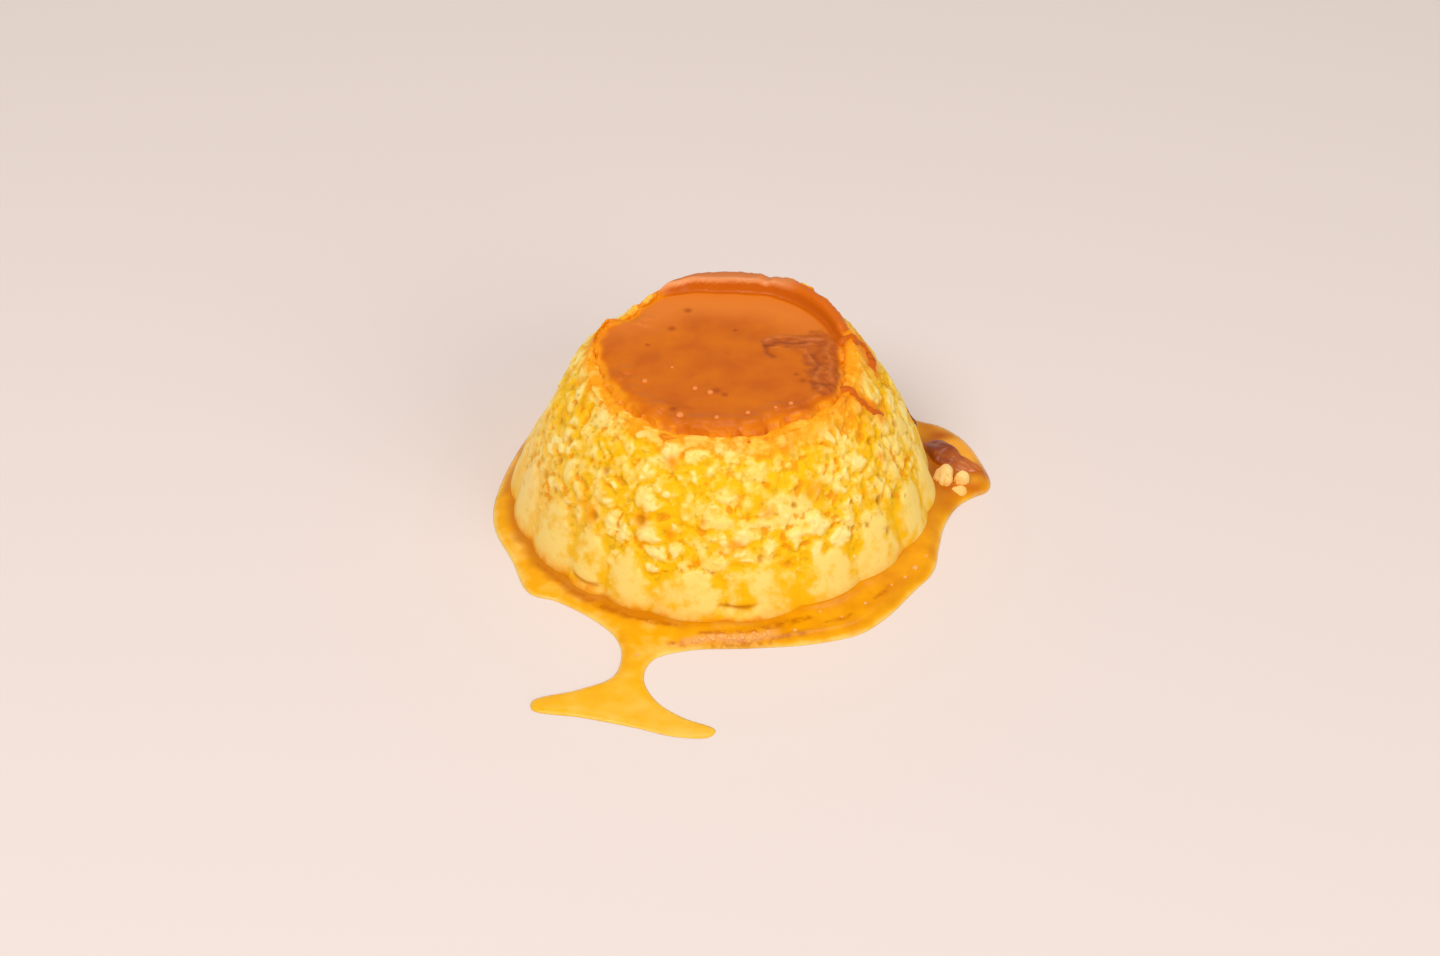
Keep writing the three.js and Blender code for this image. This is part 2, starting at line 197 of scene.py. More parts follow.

# The wrinkled skin at the right: a band of points with half widths, with the folds and the grooves along it.
# The folds are also coloured as a painted highlight, and the grooves as painted shade
SKIN_BAND = [
    (8.4, 2.8, 1.3), (14, 2.6, 2.2), (18, 2.6, 3.6), (18.8, -2.5, 3.9), (19, -8, 3.4), (18.8, -12, 2.4),
    (20.6, -11.6, 1.4),
]
SKIN_FOLDS = [
    [(8.2, 3.4), (10.2, 4.7), (13.2, 4.6), (16, 3.4), (18.6, 3.6)],
    [(15.4, 0.4), (16.6, -3), (18.2, -5.6), (17.2, -9), (18.2, -12.6)],
    [(20.3, 2.2), (19.4, -0.8), (20.6, -4), (19.8, -7.4), (20.8, -10.4)],
    [(12.2, 2.2), (14.6, 1.8), (16.8, 2.2)],
]
FOLD_WIDTH = 0.5
SKIN_GROOVES = [
    [(8.4, 1.9), (10.8, 2.8), (13.4, 2.2), (15.4, 2.4)], [(8.1, 2), (8.5, -0.6), (9.6, -1.7)],
    [(17, -1.4), (18, -4.6), (17.4, -6.4)], [(16.6, -10.2), (18.6, -11.4), (20.6, -10.8), (21.6, -12)],
]
GROOVE_WIDTH = 0.55
SKIN_THICKNESS = 0.1
WRINKLE_HEIGHT = 0.16
# Darker lines near the edge, each a path of places with half widths
DARK_LINES = [
    [(12.8, -18.9, 0.4), (16.6, -17, 0.6), (18.4, -15, 0.7), (19.8, -12.8, 0.7)],
    [(-10, -16.4, 0.6), (-8.1, -17.6, 1.2), (-5.6, -18.4, 0.6)],
]
# Bubbles and dark specks in the caramel: place and radius
TOP_BUBBLES = [
    (-14.3, -9.9, 0.6), (-5, -12.1, 0.55), (-2.2, -13.4, 0.65), (-9.3, -5.4, 0.35), (-7.7, -20.6, 0.8),
    (4.7, -19.9, 0.55), (9.8, -18.6, 0.4), (12.6, -17.2, 0.5), (-1, -21.6, 0.5),
]
TOP_SPECKS = [
    (-6.5, 13.4, 0.8), (-9.5, 7.4, 0.8), (-1.1, -12.7, 0.9), (-9, -18.6, 0.8), (15, -9.6, 0.7),
    (0.5, -14, 0.7), (13.8, -7.6, 0.5), (2.5, 6.8, 0.5), (-14, 2, 0.5),
]
SPECK_DEPTH = 0.04
# The lumps under the caramel near its front edge, and its slow waves
EDGE_LUMP_HEIGHT = 0.35
SLOW_WAVE_HEIGHT = 0.06

# Sauce: the width of its narrow ring round the back, by angle, and its outline from the left on
BACK_WIDTHS = [
    (50, 2.6), (65, 2.6), (80, 2.6), (95, 2.6), (110, 2.6), (125, 2.6), (140, 2.1), (155, 0.8),
    (167, 0.8),
]
FRONT_OUTLINE = [
    (-42.7, 3.2), (-43.9, -5.5), (-43.2, -12.4), (-39.6, -21.5), (-35.8, -31.4), (-30.6, -33.8),
    (-23.6, -39.2), (-19.4, -44.4), (-18.3, -49.6), (-19.8, -55.2), (-26, -58.7), (-33.8, -61.6),
    (-33.8, -64.2), (-25, -66.2), (-15.5, -68.9), (-8, -71.4), (-2.2, -71.4), (-1.2, -69.5), (-7, -66.2),
    (-11.6, -62), (-14.1, -55.6), (-12.4, -50.4), (-6, -47.8), (5, -47.2), (16, -46.1), (25.2, -43.2),
    (30.2, -38.6), (35.6, -31), (39.6, -25), (41, -18), (42.5, -11), (45.2, -5.2), (48.4, -2.2),
    (51.3, -0.3), (52.1, 2.4), (50.7, 9), (47.8, 16.2), (43.6, 20.9), (38.4, 23.4),
]
# How far apart the points of the sauce's sheet are, and their rows as a share of that, how far the points
# stray, and how far the sheet goes on under the custard's foot
SAUCE_STEP = 0.55
SAUCE_ROW_PITCH = 0.87
SAUCE_STRAY = 0.08
SAUCE_UNDER_FOOT = 1.2
# Thickness of the sauce at places on the surface, weighted by nearness, and how wide its rounded edge is
SAUCE_DEPTHS = [
    ((-42, -5), 0.9), ((-36, -26), 0.8), ((-25, -37), 0.8), ((-16, -47), 0.9), ((-16, -55), 0.8),
    ((-26, -61), 0.75), ((-14, -65), 0.55), ((-5, -70), 0.3), ((1, -44), 0.7), ((18, -43), 1.5),
    ((30, -34), 1.7), ((39, -20), 1.5), ((43, -8), 1.3), ((48, 0), 1.6), ((47, 10), 1.3), ((42, 20), 1.0),
    ((0, 43), 0.8), ((-30, 32), 0.8),
]
SAUCE_EDGE = 2.4
SAUCE_LEAST = 0.05
SAUCE_UNEVEN = 0.06
# How high the sauce climbs the custard, by angle
CLIMB = [(180, 0.6), (235, 0.5), (260, 0.1), (283, 0.1), (297, 0.6), (0, 0.6)]
CLIMB_WIDTH = 1.2
# Where the sauce looks darkest along the foot, as shares by angle, and how far from the foot that reaches
FOOT_SHADE = [
    (150, 0.7), (178, 0.9), (195, 1), (248, 0.9), (272, 0.6), (300, 0.2), (340, 0.2), (354, 0.6), (14, 1),
    (26, 0.7), (45, 0.3),
]
SHADE_REACH = [(185, 2.0), (205, 2.6), (235, 3.4), (252, 3.2), (270, 2.4), (90, 2.6)]
# Darker streaks in the sauce, each a path of places with half widths. The last runs along the custard's left
# foot, partly deeper sauce and partly painted shade; the others are darker lines in the sauce
SAUCE_STREAKS = [
    [(-9.5, -46.8, 0.4), (-4.5, -46.4, 0.7), (0, -46.3, 0.8), (5, -46.2, 0.8), (10, -45.3, 0.7),
     (15, -44.4, 0.4)],
    [(-4, -43.8, 0.4), (1, -43.6, 0.8), (6, -43.1, 0.8), (12, -41.5, 0.7), (16, -40.2, 0.4)],
    [(19, -41.4, 0.2), (22, -40.6, 0.4), (24, -39.2, 0.2)],
    [(28, -35, 0.2), (30, -33, 0.4), (31, -31, 0.2)],
    [(-34.5, -24.1, 0.2), (-28, -31.6, 0.4), (-22.6, -36, 0.6), (-17.9, -38.7, 0.7), (-13.2, -40.4, 0.6),
     (-8.6, -41.7, 0.3)],
]
STREAK_WIDTH = 1.4
# The browner end at the right, and where the sauce is golden in it: place, half widths and strength
BROWN_END = [
    ((43.6, 16.6), (3, 2.2), 0.9), ((41, 9), (2.4, 7), 1), ((46.5, 6), (4.4, 3), 1),
    ((43, -0.5), (3.4, 2.6), 0.9), ((48.6, -0.4), (2.6, 1.6), 0.8), ((43.4, -5.4), (2.6, 3), 0.6),
    ((50.4, 4.4), (2.4, 2), 0.7), ((40.6, 20), (2.4, 2), 0.5),
]
GOLD_END = [
    ((47.2, 12.2), (1.9, 3.2), 1.5), ((44.6, 14), (1.6, 1.2), 0.9), ((48.8, 8.8), (1.2, 2), 0.8),
    ((48.2, 1.4), (1.6, 1.2), 0.6),
]
# The line of froth at the front, and single bubbles: place and radius
FOAM_PATH = [(-6.4, -46), (-3.6, -45.3), (-0.2, -44.9), (3.3, -44.9), (6.6, -44.7), (9.4, -44)]
FOAM_WIDTH = 0.95
FOAM_HEIGHT = 0.15
FOAM_UNEVEN = 0.2
FOAM_BUBBLES = 70
FOAM_RADII = (0.14, 0.5)
FOAM_SPREAD = (0.3, 0.4)
POOL_BUBBLES = [
    (36.1, -25.7, 0.55), (34.1, -28.6, 0.35), (26.4, -36.3, 0.35), (13.3, -43.7, 0.4), (18, -38.6, 0.3),
    (31.5, -31, 0.25), (-15.4, -50.2, 0.3), (22, -40, 0.25), (38.4, -22, 0.3), (8.5, -44.6, 0.3),
]

# Runs of caramel over the shoulder at the right, each a path of places seen from above with half widths, and
# one down the side: angle, height and half width
RUNS = [
    [(19.2, 1.6, 0.8), (20.4, 1.5, 1.1), (21.8, 2.0, 1.2), (23.4, 3.0, 1.1), (24.9, 4.4, 1.1),
     (26.2, 5.2, 1.2), (27.1, 4.6, 1.3), (27.7, 3.2, 1.4), (28.0, 1.6, 1.3), (28.1, 0.2, 0.7)],
    [(18.2, -11.0, 1.0), (20.4, -11.9, 1.5), (22.0, -11.2, 1.4), (23.4, -10.6, 0.9), (24.6, -10.9, 0.5)],
    [(22.0, -10.9, 0.7), (23.7, -10.7, 0.8), (25.1, -11.0, 0.6), (26.4, -10.4, 0.6), (27.7, -10.2, 0.6),
     (28.8, -9.3, 0.6), (30.0, -8.2, 0.3)],
]
SIDE_RUN = [
    (13.8, 14.4, 0.3), (13.7, 13, 0.45), (13.6, 11.4, 0.6), (13.3, 10, 0.85), (13.2, 9.2, 0.8),
    (13.2, 8.7, 0.4),
]
RUN_SUNK = 0.7
RUN_STEP = 0.6
RUN_UNEVEN = 0.35
# How far a run stains the custard beside it, in shares of its half width, and the lowest height stained
STAIN_REACH = 1.9
STAIN_ABOVE = 20

# Broken pieces in the sauce at the right: three of custard, and a longer one of set caramel, each with its
# middle, its half length, width and height, and its turn
CRUMBS = [
    ((42.8, 1.4, 1.6), (2.4, 2.0, 2.5), 60), ((46.5, 1.2, 1.3), (1.8, 1.4, 2.1), 100),
    ((45.9, -1.2, 0.8), (1.5, 1.2, 1.2), 10),
]
SET_CARAMEL = ((45.4, 8.3, 1.0), (7, 2.5, 1.9), -41)
# How uneven they are, as shares of their size, by the size of the lumps
CRUMB_UNEVEN = [(0.6, 1.7), (0.15, 0.6)]
SET_CARAMEL_UNEVEN = [(0.3, 1.1), (0.15, 0.5)]
CRUMB_CURD_SIZE = 3.0
CRUMB_CURD_DEPTH = 0.35
LUMP_UNDERSIDE = 0.15

# Farther out than any piece reaches
FAR = 80

# The floor's side, and how far it lies below the object so that the two don't coincide
FLOOR_SIZE = 4000
FLOOR_GAP = 0.03

# Camera: the photograph's view
VIEW_AIM = (-0.39, 4.18, 0)
VIEW_DISTANCE = 638.8
VIEW_ELEVATION = 37.18
VIEW_LENS = 82.1

# Fineness of the custard's mesh: steps round it, and rows up its foot and its side, over its rim's crest and
# down into its hollow
AROUND = 600
FOOT_ROWS = 4
SIDE_ROWS = 126
CREST_ROWS = 16
HOLLOW_ROWS = 5


# Plain mathematics

def linear(red, green, blue):
    """The linear colour of an sRGB colour given from 0 to 255."""
    shares = [value / 255 for value in (red, green, blue)]
    return [s / 12.92 if s <= 0.04045 else ((s + 0.055) / 1.055) ** 2.4 for s in shares] + [1.0]


def eased(low, high, x):
    """A share from 0 at low to 1 at high, eased at both ends."""
    share = np.clip((np.asarray(x, float) - low) / (high - low), 0, 1)
    return share * share * (3 - 2 * share)


def bell(*distances):
    """A share that is 1 in the middle and falls to little beyond 1, by distances along one or more ways."""
    return np.exp(-sum(np.square(distance) for distance in distances))


def turn_from(angle, degrees):
    """The turn from one angle to others, from -180 to 180."""
    return (degrees - angle + 180) % 360 - 180


def at_angle(radius, degrees):
    """A place on the level, as a vector."""
    return radius * Vector((math.cos(math.radians(degrees)), math.sin(math.radians(degrees))))


def across_level(radius, degrees):
    """Places on the level, as arrays of x and y."""
    return radius * np.cos(np.radians(degrees)), radius * np.sin(np.radians(degrees))


def around_circle(marks, degrees):
    """Values by angle, eased between marks of (angle, value) round the whole circle."""
    marks = sorted((angle % 360, value) for angle, value in marks)
    marks = [(marks[-1][0] - 360, marks[-1][1]), *marks, (marks[0][0] + 360, marks[0][1])]
    angles, values = np.array(marks, float).T
    turned = np.asarray(degrees, float) % 360
    after = np.clip(np.searchsorted(angles, turned, side="right"), 1, len(angles) - 1)
    share = eased(0, 1, (turned - angles[after - 1]) / (angles[after] - angles[after - 1]))
    return values[after - 1] + share * (values[after] - values[after - 1])


def patches(degrees, z, marks):
    """How strongly soft patches of the side show at places on it, added up."""
    shown = 0
    for angle, height, wide, tall, strength in marks:
        shown = shown + strength * bell(turn_from(angle, degrees) / wide, (z - height) / tall)
    return shown


def distance_to_path(x, y, path):
    """Distance to a path of points, in shares of its half width where its points have one."""
    nearest = np.full(np.shape(x), np.inf)
    for (ax, ay, *a_wide), (bx, by, *b_wide) in zip(path, path[1:]):
        length = (bx - ax) ** 2 + (by - ay) ** 2
        share = np.clip(((x - ax) * (bx - ax) + (y - ay) * (by - ay)) / length, 0, 1)
        width = a_wide[0] + share * (b_wide[0] - a_wide[0]) if a_wide else 1
        away = np.hypot(x - ax - share * (bx - ax), y - ay - share * (by - ay))
        nearest = np.minimum(nearest, away / width)
    return nearest


def near_paths(x, y, paths, width=1):
    """How near places are to some paths, as shares that add up where paths meet."""
    return sum(bell(distance_to_path(x, y, path) / width) for path in paths)


def noise_at(x, y, size, seed, z=0):
    """Smooth noise from -1 to 1 at each point, with lumps of about the given size."""
    x, y, z = np.broadcast_arrays(x, y, z)
    flat = zip(x.flat, y.flat, z.flat)
    made = [noise.noise(Vector((a / size + seed, b / size - seed, c / size))) for a, b, c in flat]
    return np.array(made).reshape(x.shape)


def lumps_at(x, y, size, seed):
    """Rounded lumps from 0 to 1 at each point of a level."""
    flat = zip(x.flat, y.flat)
    nearest = [noise.voronoi(Vector((a / size + seed, b / size, seed)))[0][0] for a, b in flat]
    return np.clip(1 - (np.array(nearest) / 0.75) ** 2, 0, 1).reshape(x.shape)


def smooth_larger(a, b, softness):
    """The larger of two heights, with the corner between them rounded."""
    share = np.clip(0.5 + 0.5 * (a - b) / softness, 0, 1)
    return b + share * (a - b) + softness * share * (1 - share)


# The custard's form

def flute_valleys():
    pitch = (FRONT_VALLEYS[0] + 360 - FRONT_VALLEYS[-1]) / BACK_FLUTES
    return np.array(FRONT_VALLEYS + [FRONT_VALLEYS[-1] + n * pitch for n in range(1, BACK_FLUTES + 1)])


def lobes(degrees):
    """For each angle, how far out on its lobe it is, from 0 in a valley to 1, and the height of its arch."""
    valleys = flute_valleys()
    turned = valleys[0] + (np.asarray(degrees, float) - valleys[0]) % 360
    after = np.clip(np.searchsorted(valleys, turned, side="right"), 1, len(valleys) - 1)
    along = np.clip((turned - valleys[after - 1]) / (valleys[after] - valleys[after - 1]), 0, 1)
    wave = np.sin(np.pi * along)
    draw = np.random.default_rng(5).uniform(-1, 1, BACK_FLUTES)
    tops = np.array([0, *LOBE_TOPS, *(BACK_LOBE_TOP + BACK_LOBE_SPREAD * draw)])
    return wave, tops[after] * (1 - ARCH_SHARE + ARCH_SHARE * wave**ARCH_POWER)


def fold_shares(degrees, z, angle, height, width):
    """How deep a place lies in the crease of a small fold, and how far out on the swelling beneath it."""
    along = ((degrees - angle) / width) ** 2
    above = z - height - FOLD_END_RISE * along
    below, thickness, _ = FOLD_SWELLING
    return bell(along, above / FOLD_THICKNESS), bell(along, (above + below) / thickness)


def side_radius(degrees, z):
    """Radius of the side with its flutes and folds, but without its curds."""
    wave, arch = lobes(degrees)
    domed = BASE_RADIUS - SIDE_TAPER * z - SIDE_DOME * (np.maximum(z, 0) / BODY_HEIGHT) ** SIDE_DOME_POWER
    slump = around_circle(SLUMP, degrees) * eased(SLUMP_START, SLUMP_FULL, z)
    fluted = 1 - eased(arch - LOBE_FADE[0], arch + LOBE_FADE[1], z)
    flute = FLUTE_DEPTH * (1 - wave**FLUTE_ROUNDNESS) * fluted
    fold = 0
    for angle, height, width, depth in FOOT_FOLDS:
        crease, swelling = fold_shares(degrees, z, angle, height, width)
        fold = fold + depth * (crease - FOLD_SWELLING[2] * swelling)
    angle, width, top, depth = FOOT_BULGE
    bulge = depth * bell(turn_from(angle, degrees) / width) * np.clip(1 - z / top, 0, 1)
    return domed - slump - flute - fold - patches(degrees, z, [DENT]) + bulge


def caramel_edge(degrees):
    return around_circle(CARAMEL_EDGE, degrees)


def rim_height(degrees):
    return CARAMEL_TOP + around_circle(RIM_RISE, degrees)


def custard_form(degrees):
    """Rows of radius, height, curdiness and relief up the custard, and the way along them from its lip."""
    still = np.zeros(len(degrees))
    crest = rim_height(degrees)
    shoulder = crest - RIM_ROUND
    rows = []
    for share in np.linspace(0, 1, FOOT_ROWS + 1)[:-1]:
        turn = share * math.pi / 2
        z = still + FOOT_ROUND * (1 - math.cos(turn))
        rows.append((side_radius(degrees, z) - FOOT_ROUND * (1 - math.sin(turn)), z, still, still))
    arch = lobes(degrees)[1]
    for share in np.linspace(0, 1, SIDE_ROWS):
        z = FOOT_ROUND + share * (shoulder - FOOT_ROUND)
        curdy = eased(arch - 5, arch + 3, z)
        relief = eased(FOOT_ROUND, 3, z) * (1 - 0.3 * eased(shoulder - 2.5, shoulder, z))
        relief = relief * around_circle(CURD_STRENGTH, degrees)
        rows.append((side_radius(degrees, z), z, curdy, relief))
    outer = side_radius(degrees, shoulder)
    hollow = caramel_edge(degrees) + HOLLOW_GAP
    inner = np.minimum(hollow + RIM_LEAN * (crest - HOLLOW_FLOOR), outer - 0.5)
    for share in np.linspace(0, 1, CREST_ROWS + 1)[1:]:
        turn = share * math.pi
        radius = (outer + inner) / 2 + (outer - inner) / 2 * math.cos(turn)
        z = shoulder + RIM_ROUND * max(math.sin(turn), 0) ** 0.6
        rows.append((radius, z, still + 1, still + 0.8 - 0.4 * share))
    lip = len(rows) - 1
    floor = HOLLOW_FLOOR - HIDDEN_OVERLAP
    for share in np.linspace(0, 1, HOLLOW_ROWS + 1)[1:]:
        radius = inner + share * (hollow - inner)
        z = np.minimum(shoulder + share * (floor - shoulder), shoulder)
        rows.append((radius, z, still + 1, still + 0.4 * (1 - share)))
    rows.append((0.6 * hollow, still + floor, still, still))
    radius, z, curdy, relief = (np.stack(part) for part in zip(*rows))
    steps = np.hypot(np.diff(radius, axis=0), np.diff(z, axis=0))
    way = np.vstack([0 * still, np.cumsum(steps, axis=0)])
    return radius, z, curdy, relief, way[lip] - way


# Node trees

class Wire:
    """What a node gives out. With numbers, the signs of arithmetic add the nodes that work them out."""

    def __init__(self, socket):
        self.socket = socket
        self.tree = socket.id_data

    def __add__(self, other):
        return calc("ADD", self, other)

    def __sub__(self, other):
        return calc("SUBTRACT", self, other)

    def __mul__(self, other):
        return calc("MULTIPLY", self, other)

    __radd__ = __add__
    __rmul__ = __mul__


def socket_name(name):
    return name.replace("_", " ").title().replace("Ior", "IOR")


def give(socket, value):
    """Joins a wire to a node's input, or sets the input's own value."""
    if isinstance(value, Wire):
        value.tree.links.new(value.socket, socket)
    else:
        socket.default_value = value


def give_named(node, **values):
    for name, value in values.items():
        give(node.inputs[socket_name(name)], value)


def place(tree, kind, *values, out=0, named=None, **settings):
    """Adds a node with its settings. Values go to its open inputs in order, and named ones by their names."""
    added = tree.nodes.new(kind)
    for name, value in settings.items():
        setattr(added, name, value)
    for socket, value in zip([s for s in added.inputs if s.enabled], values):
        give(socket, value)
    give_named(added, **(named or {}))
    return Wire([s for s in added.outputs if s.enabled][out])


def calc(operation, *values):
    tree = next(value.tree for value in values if isinstance(value, Wire))
    return place(tree, "ShaderNodeMath", *values, operation=operation)


def ease(value, low, high, to_low=0.0, to_high=1.0):
    return place(value.tree, "ShaderNodeMapRange", value, low, high, to_low, to_high,
                 interpolation_type="SMOOTHSTEP")


def noise_wire(point, scale, detail, out=0):
    return place(point.tree, "ShaderNodeTexNoise", point, scale, detail, 0.5, 2.0, out=out,
                 noise_dimensions="3D")


def new_group(name, kind, inputs, outputs):
    """A node group: its tree, its given wires by name, and its result's sockets by name."""
    tree = bpy.data.node_groups.new(name, kind)
    for socket, (value_type, default) in inputs.items():
        made = tree.interface.new_socket(
            socket_name(socket), in_out="INPUT", socket_type="NodeSocket" + value_type)
        if default is not None:
            made.default_value = default
    for socket, value_type in outputs.items():
        tree.interface.new_socket(
            socket_name(socket), in_out="OUTPUT", socket_type="NodeSocket" + value_type)
    entry = tree.nodes.new("NodeGroupInput")
    leave = tree.nodes.new("NodeGroupOutput")
    given = {name: Wire(entry.outputs[socket_name(name)]) for name in inputs}
    result = {name: leave.inputs[socket_name(name)] for name in outputs}
    return tree, given, result


# Geometry Nodes

def shape_tree(name, **inputs):
    """A Geometry Nodes group that takes a shape and the inputs given."""
    inputs = {"geometry": ("Geometry", None), **inputs}
    return new_group(name, "GeometryNodeTree", inputs, {"geometry": "Geometry"})


def end_tree(shape, result, material):
    real = place(shape.tree, "GeometryNodeRealizeInstances", shape)
    give(result["geometry"], place(shape.tree, "GeometryNodeSetMaterial", real, named={"material": material}))


def stored(tree, name):
    return place(tree, "GeometryNodeInputNamedAttribute", name, data_type="FLOAT")


def vectors(operation, first, second):
    return place(first.tree, "ShaderNodeVectorMath", first, second, operation=operation)


def scaled(vector, by):
    return place(vector.tree, "ShaderNodeVectorMath", vector, operation="SCALE", named={"scale": by})


def curd_tree(material):
    """Raises rounded curds along the normals, and keeps their paleness, pockets and pits as attributes."""
    tree, given, result = shape_tree(
        "raise_curds",
        curd_size=("Float", CURD_SIZE * MM),
        curd_depth=("Float", CURD_DEPTH * MM),
        pit_size=("Float", PIT_SIZE * MM),
        seed=("Float", 3.0),
    )
    seed, curd_size = given["seed"], given["curd_size"]
    shift = place(tree, "ShaderNodeCombineXYZ", seed, seed, seed)
    spot = vectors("ADD", place(tree, "GeometryNodeInputPosition"), shift)
    fineness = calc("DIVIDE", 1.0, curd_size)

    def cells(position, per_size, feature="F1", out=0):
        return place(tree, "ShaderNodeTexVoronoi", position, fineness * per_size,
                     voronoi_dimensions="3D", feature=feature, out=out)

    def grain(per_size, out=0):
        return noise_wire(spot, fineness * per_size, 2.0, out)

    def lumps(position, per_size):
        """Flat-topped lumps of random height that meet in narrow creases."""
        luck = place(tree, "ShaderNodeSeparateXYZ", cells(position, per_size, out=1))
        return ease(cells(position, per_size, feature="DISTANCE_TO_EDGE"), -0.06, 0.36) * (0.55 * luck + 0.45)

    wander = scaled(vectors("SUBTRACT", grain(0.8, out=1), (0.5, 0.5, 0.5)), 0.8 * curd_size)
    bent = vectors("ADD", spot, wander)
    height = 0.56 * lumps(bent, 1.0) + 0.26 * lumps(bent, 2.2) + 0.16 * grain(4.0) + 0.5 * grain(0.7)

    curdy = ease(stored(tree, "curdy") + 0.9 * grain(0.9) - 0.45, 0.2, 0.75)
    pale = ease(height + 0.9 * (grain(0.45) - 0.5), 0.66, 1.0) * curdy
    low = ease(height, 0.68, 0.42) * curdy
    pocket = low * ease(grain(1.3), 0.52, 0.62)
    pit = place(tree, "ShaderNodeTexVoronoi", spot, calc("DIVIDE", 0.3, given["pit_size"]),
                voronoi_dimensions="3D")
    pit = calc("MAXIMUM", ease(pit, 0.2, 0.06) * stored(tree, "pitted"), stored(tree, "hole"))
    rise = (height - CURD_LEVEL) * curdy + 0.3 * (grain(0.6) - 0.5) - POCKET_DEPTH * pocket - PIT_DEPTH * pit
    rise = rise * stored(tree, "relief") * given["curd_depth"]

    shape = given["geometry"]
    for name, value in (("pale", pale), ("low", low), ("pocket", pocket), ("pit", pit), ("curds", curdy)):
        shape = place(tree, "GeometryNodeStoreNamedAttribute", shape, data_type="FLOAT", domain="POINT",
                      named={"name": name, "value": value})
    offset = scaled(place(tree, "GeometryNodeInputNormal"), rise)
    end_tree(place(tree, "GeometryNodeSetPosition", shape, named={"offset": offset}), result, material)
    return tree


def tube_tree(material):
    """A run of caramel: a round tube along a path of points that carry their own half width."""
    tree, given, result = shape_tree("run_along_path", sides=("Int", 14), step=("Float", 0.35 * MM))
    curve = place(tree, "GeometryNodeMeshToCurve", given["geometry"])
    smooth = place(tree, "GeometryNodeCurveSplineType", curve, spline_type="CATMULL_ROM")
    even = place(tree, "GeometryNodeResampleCurve", smooth, mode="LENGTH", named={"length": given["step"]})
    ring = place(tree, "GeometryNodeCurvePrimitiveCircle",
                 named={"resolution": given["sides"], "radius": 1.0})
    swept = place(tree, "GeometryNodeCurveToMesh", even, ring, stored(tree, "width"), True)
    end_tree(swept, result, material)
    return tree


def beads_tree(material):
    """A small ball on every point, with the point's own radius."""
    tree, given, result = shape_tree("beads_on_points", flatness=("Float", 0.7), fineness=("Int", 3))
    ball = place(tree, "GeometryNodeMeshIcoSphere", 1.0, given["fineness"])
    dots = place(tree, "GeometryNodeMeshToPoints", given["geometry"])
    width = stored(tree, "width")
    size = place(tree, "ShaderNodeCombineXYZ", width, width, width * given["flatness"])
    beads = place(tree, "GeometryNodeInstanceOnPoints", dots, named={"instance": ball, "scale": size})
    end_tree(beads, result, material)
    return tree


def finish_with(piece, tree, **sizes):
    """Runs a Geometry Nodes tree on a piece with its named sizes, and keeps the result as a plain mesh."""
    modifier = piece.modifiers.new(tree.name, "NODES")
    modifier.node_group = tree
    sockets = {item.name: item.identifier for item in tree.interface.items_tree if item.in_out == "INPUT"}
    for name, value in sizes.items():
        modifier[sockets[socket_name(name)]] = value
    graph = bpy.context.evaluated_depsgraph_get()
    shaped = piece.evaluated_get(graph)
    plain = bpy.data.meshes.new_from_object(shaped, preserve_all_data_layers=True, depsgraph=graph)
    piece.modifiers.remove(modifier)
    old = piece.data
    piece.data = plain
    bpy.data.meshes.remove(old)
    plain.name = piece.name
    plain.shade_smooth()
    return piece


# Meshes

def new_piece(name, points, faces, material=None, edges=(), **values):
    """A mesh object from points in millimetres, with its own values kept as attributes."""
    mesh = bpy.data.meshes.new(name)
    faces = [tuple(int(corner) for corner in face) for face in faces]
    mesh.from_pydata((np.asarray(points) * MM).tolist(), edges, faces)
    for key, value in values.items():
        made = mesh.attributes.new(key, "FLOAT", "POINT")
        made.data.foreach_set("value", np.broadcast_to(np.ravel(value), len(points)).astype(np.float32))
    mesh.shade_smooth()
    piece = bpy.data.objects.new(name, mesh)
    bpy.context.scene.collection.objects.link(piece)
    if material:
        mesh.materials.append(material)
    return piece


def ring_piece(name, radius, z, bottom_z, top_z, material=None, **values):
    """A closed body from rings of radius and z by angle, fanned shut at both ends."""
    rows, around = radius.shape
    x, y = across_level(radius, np.arange(around) * 360 / around)
    points = np.vstack([np.stack([x, y, z], -1).reshape(-1, 3), [[0, 0, bottom_z]], [[0, 0, top_z]]])
    here = np.arange(around)
    there = np.roll(here, -1)
    band = np.stack([here, there, there + around, here + around], -1)
    faces = np.concatenate([band + row * around for row in range(rows - 1)]).tolist()
    bottom, top, last_ring = rows * around, rows * around + 1, (rows - 1) * around
    faces += [(bottom, b, a) for a, b in zip(here, there)]
    faces += [(top, last_ring + a, last_ring + b) for a, b in zip(here, there)]
    values = {key: np.append(value, [value.flat[0], value.flat[-1]]) for key, value in values.items()}
    return new_piece(name, points, faces, material, **values)


def surface_of(piece):
    """A search tree of a piece's faces, in metres."""
    mesh = piece.data
    corners = np.empty(len(mesh.vertices) * 3)
    mesh.vertices.foreach_get("co", corners)
    return BVHTree.FromPolygons(corners.reshape(-1, 3).tolist(), [face.vertices[:] for face in mesh.polygons])


def top_of(surface, x, y):
    """The height of a piece's surface straight under a place."""
    hit = surface.ray_cast(Vector((x, y, FAR)) * MM, Vector((0, 0, -1)))
    return hit[0].z / MM if hit[0] else 0


def side_of(surface, degrees, z, sunk):
    """A place a little under a piece's side, at an angle and height."""
    outward = at_angle(1, degrees).to_3d()
    hit = surface.ray_cast((FAR * outward + Vector((0, 0, z))) * MM, -outward)
    return tuple(hit[0] / MM - sunk * outward)


# The custard

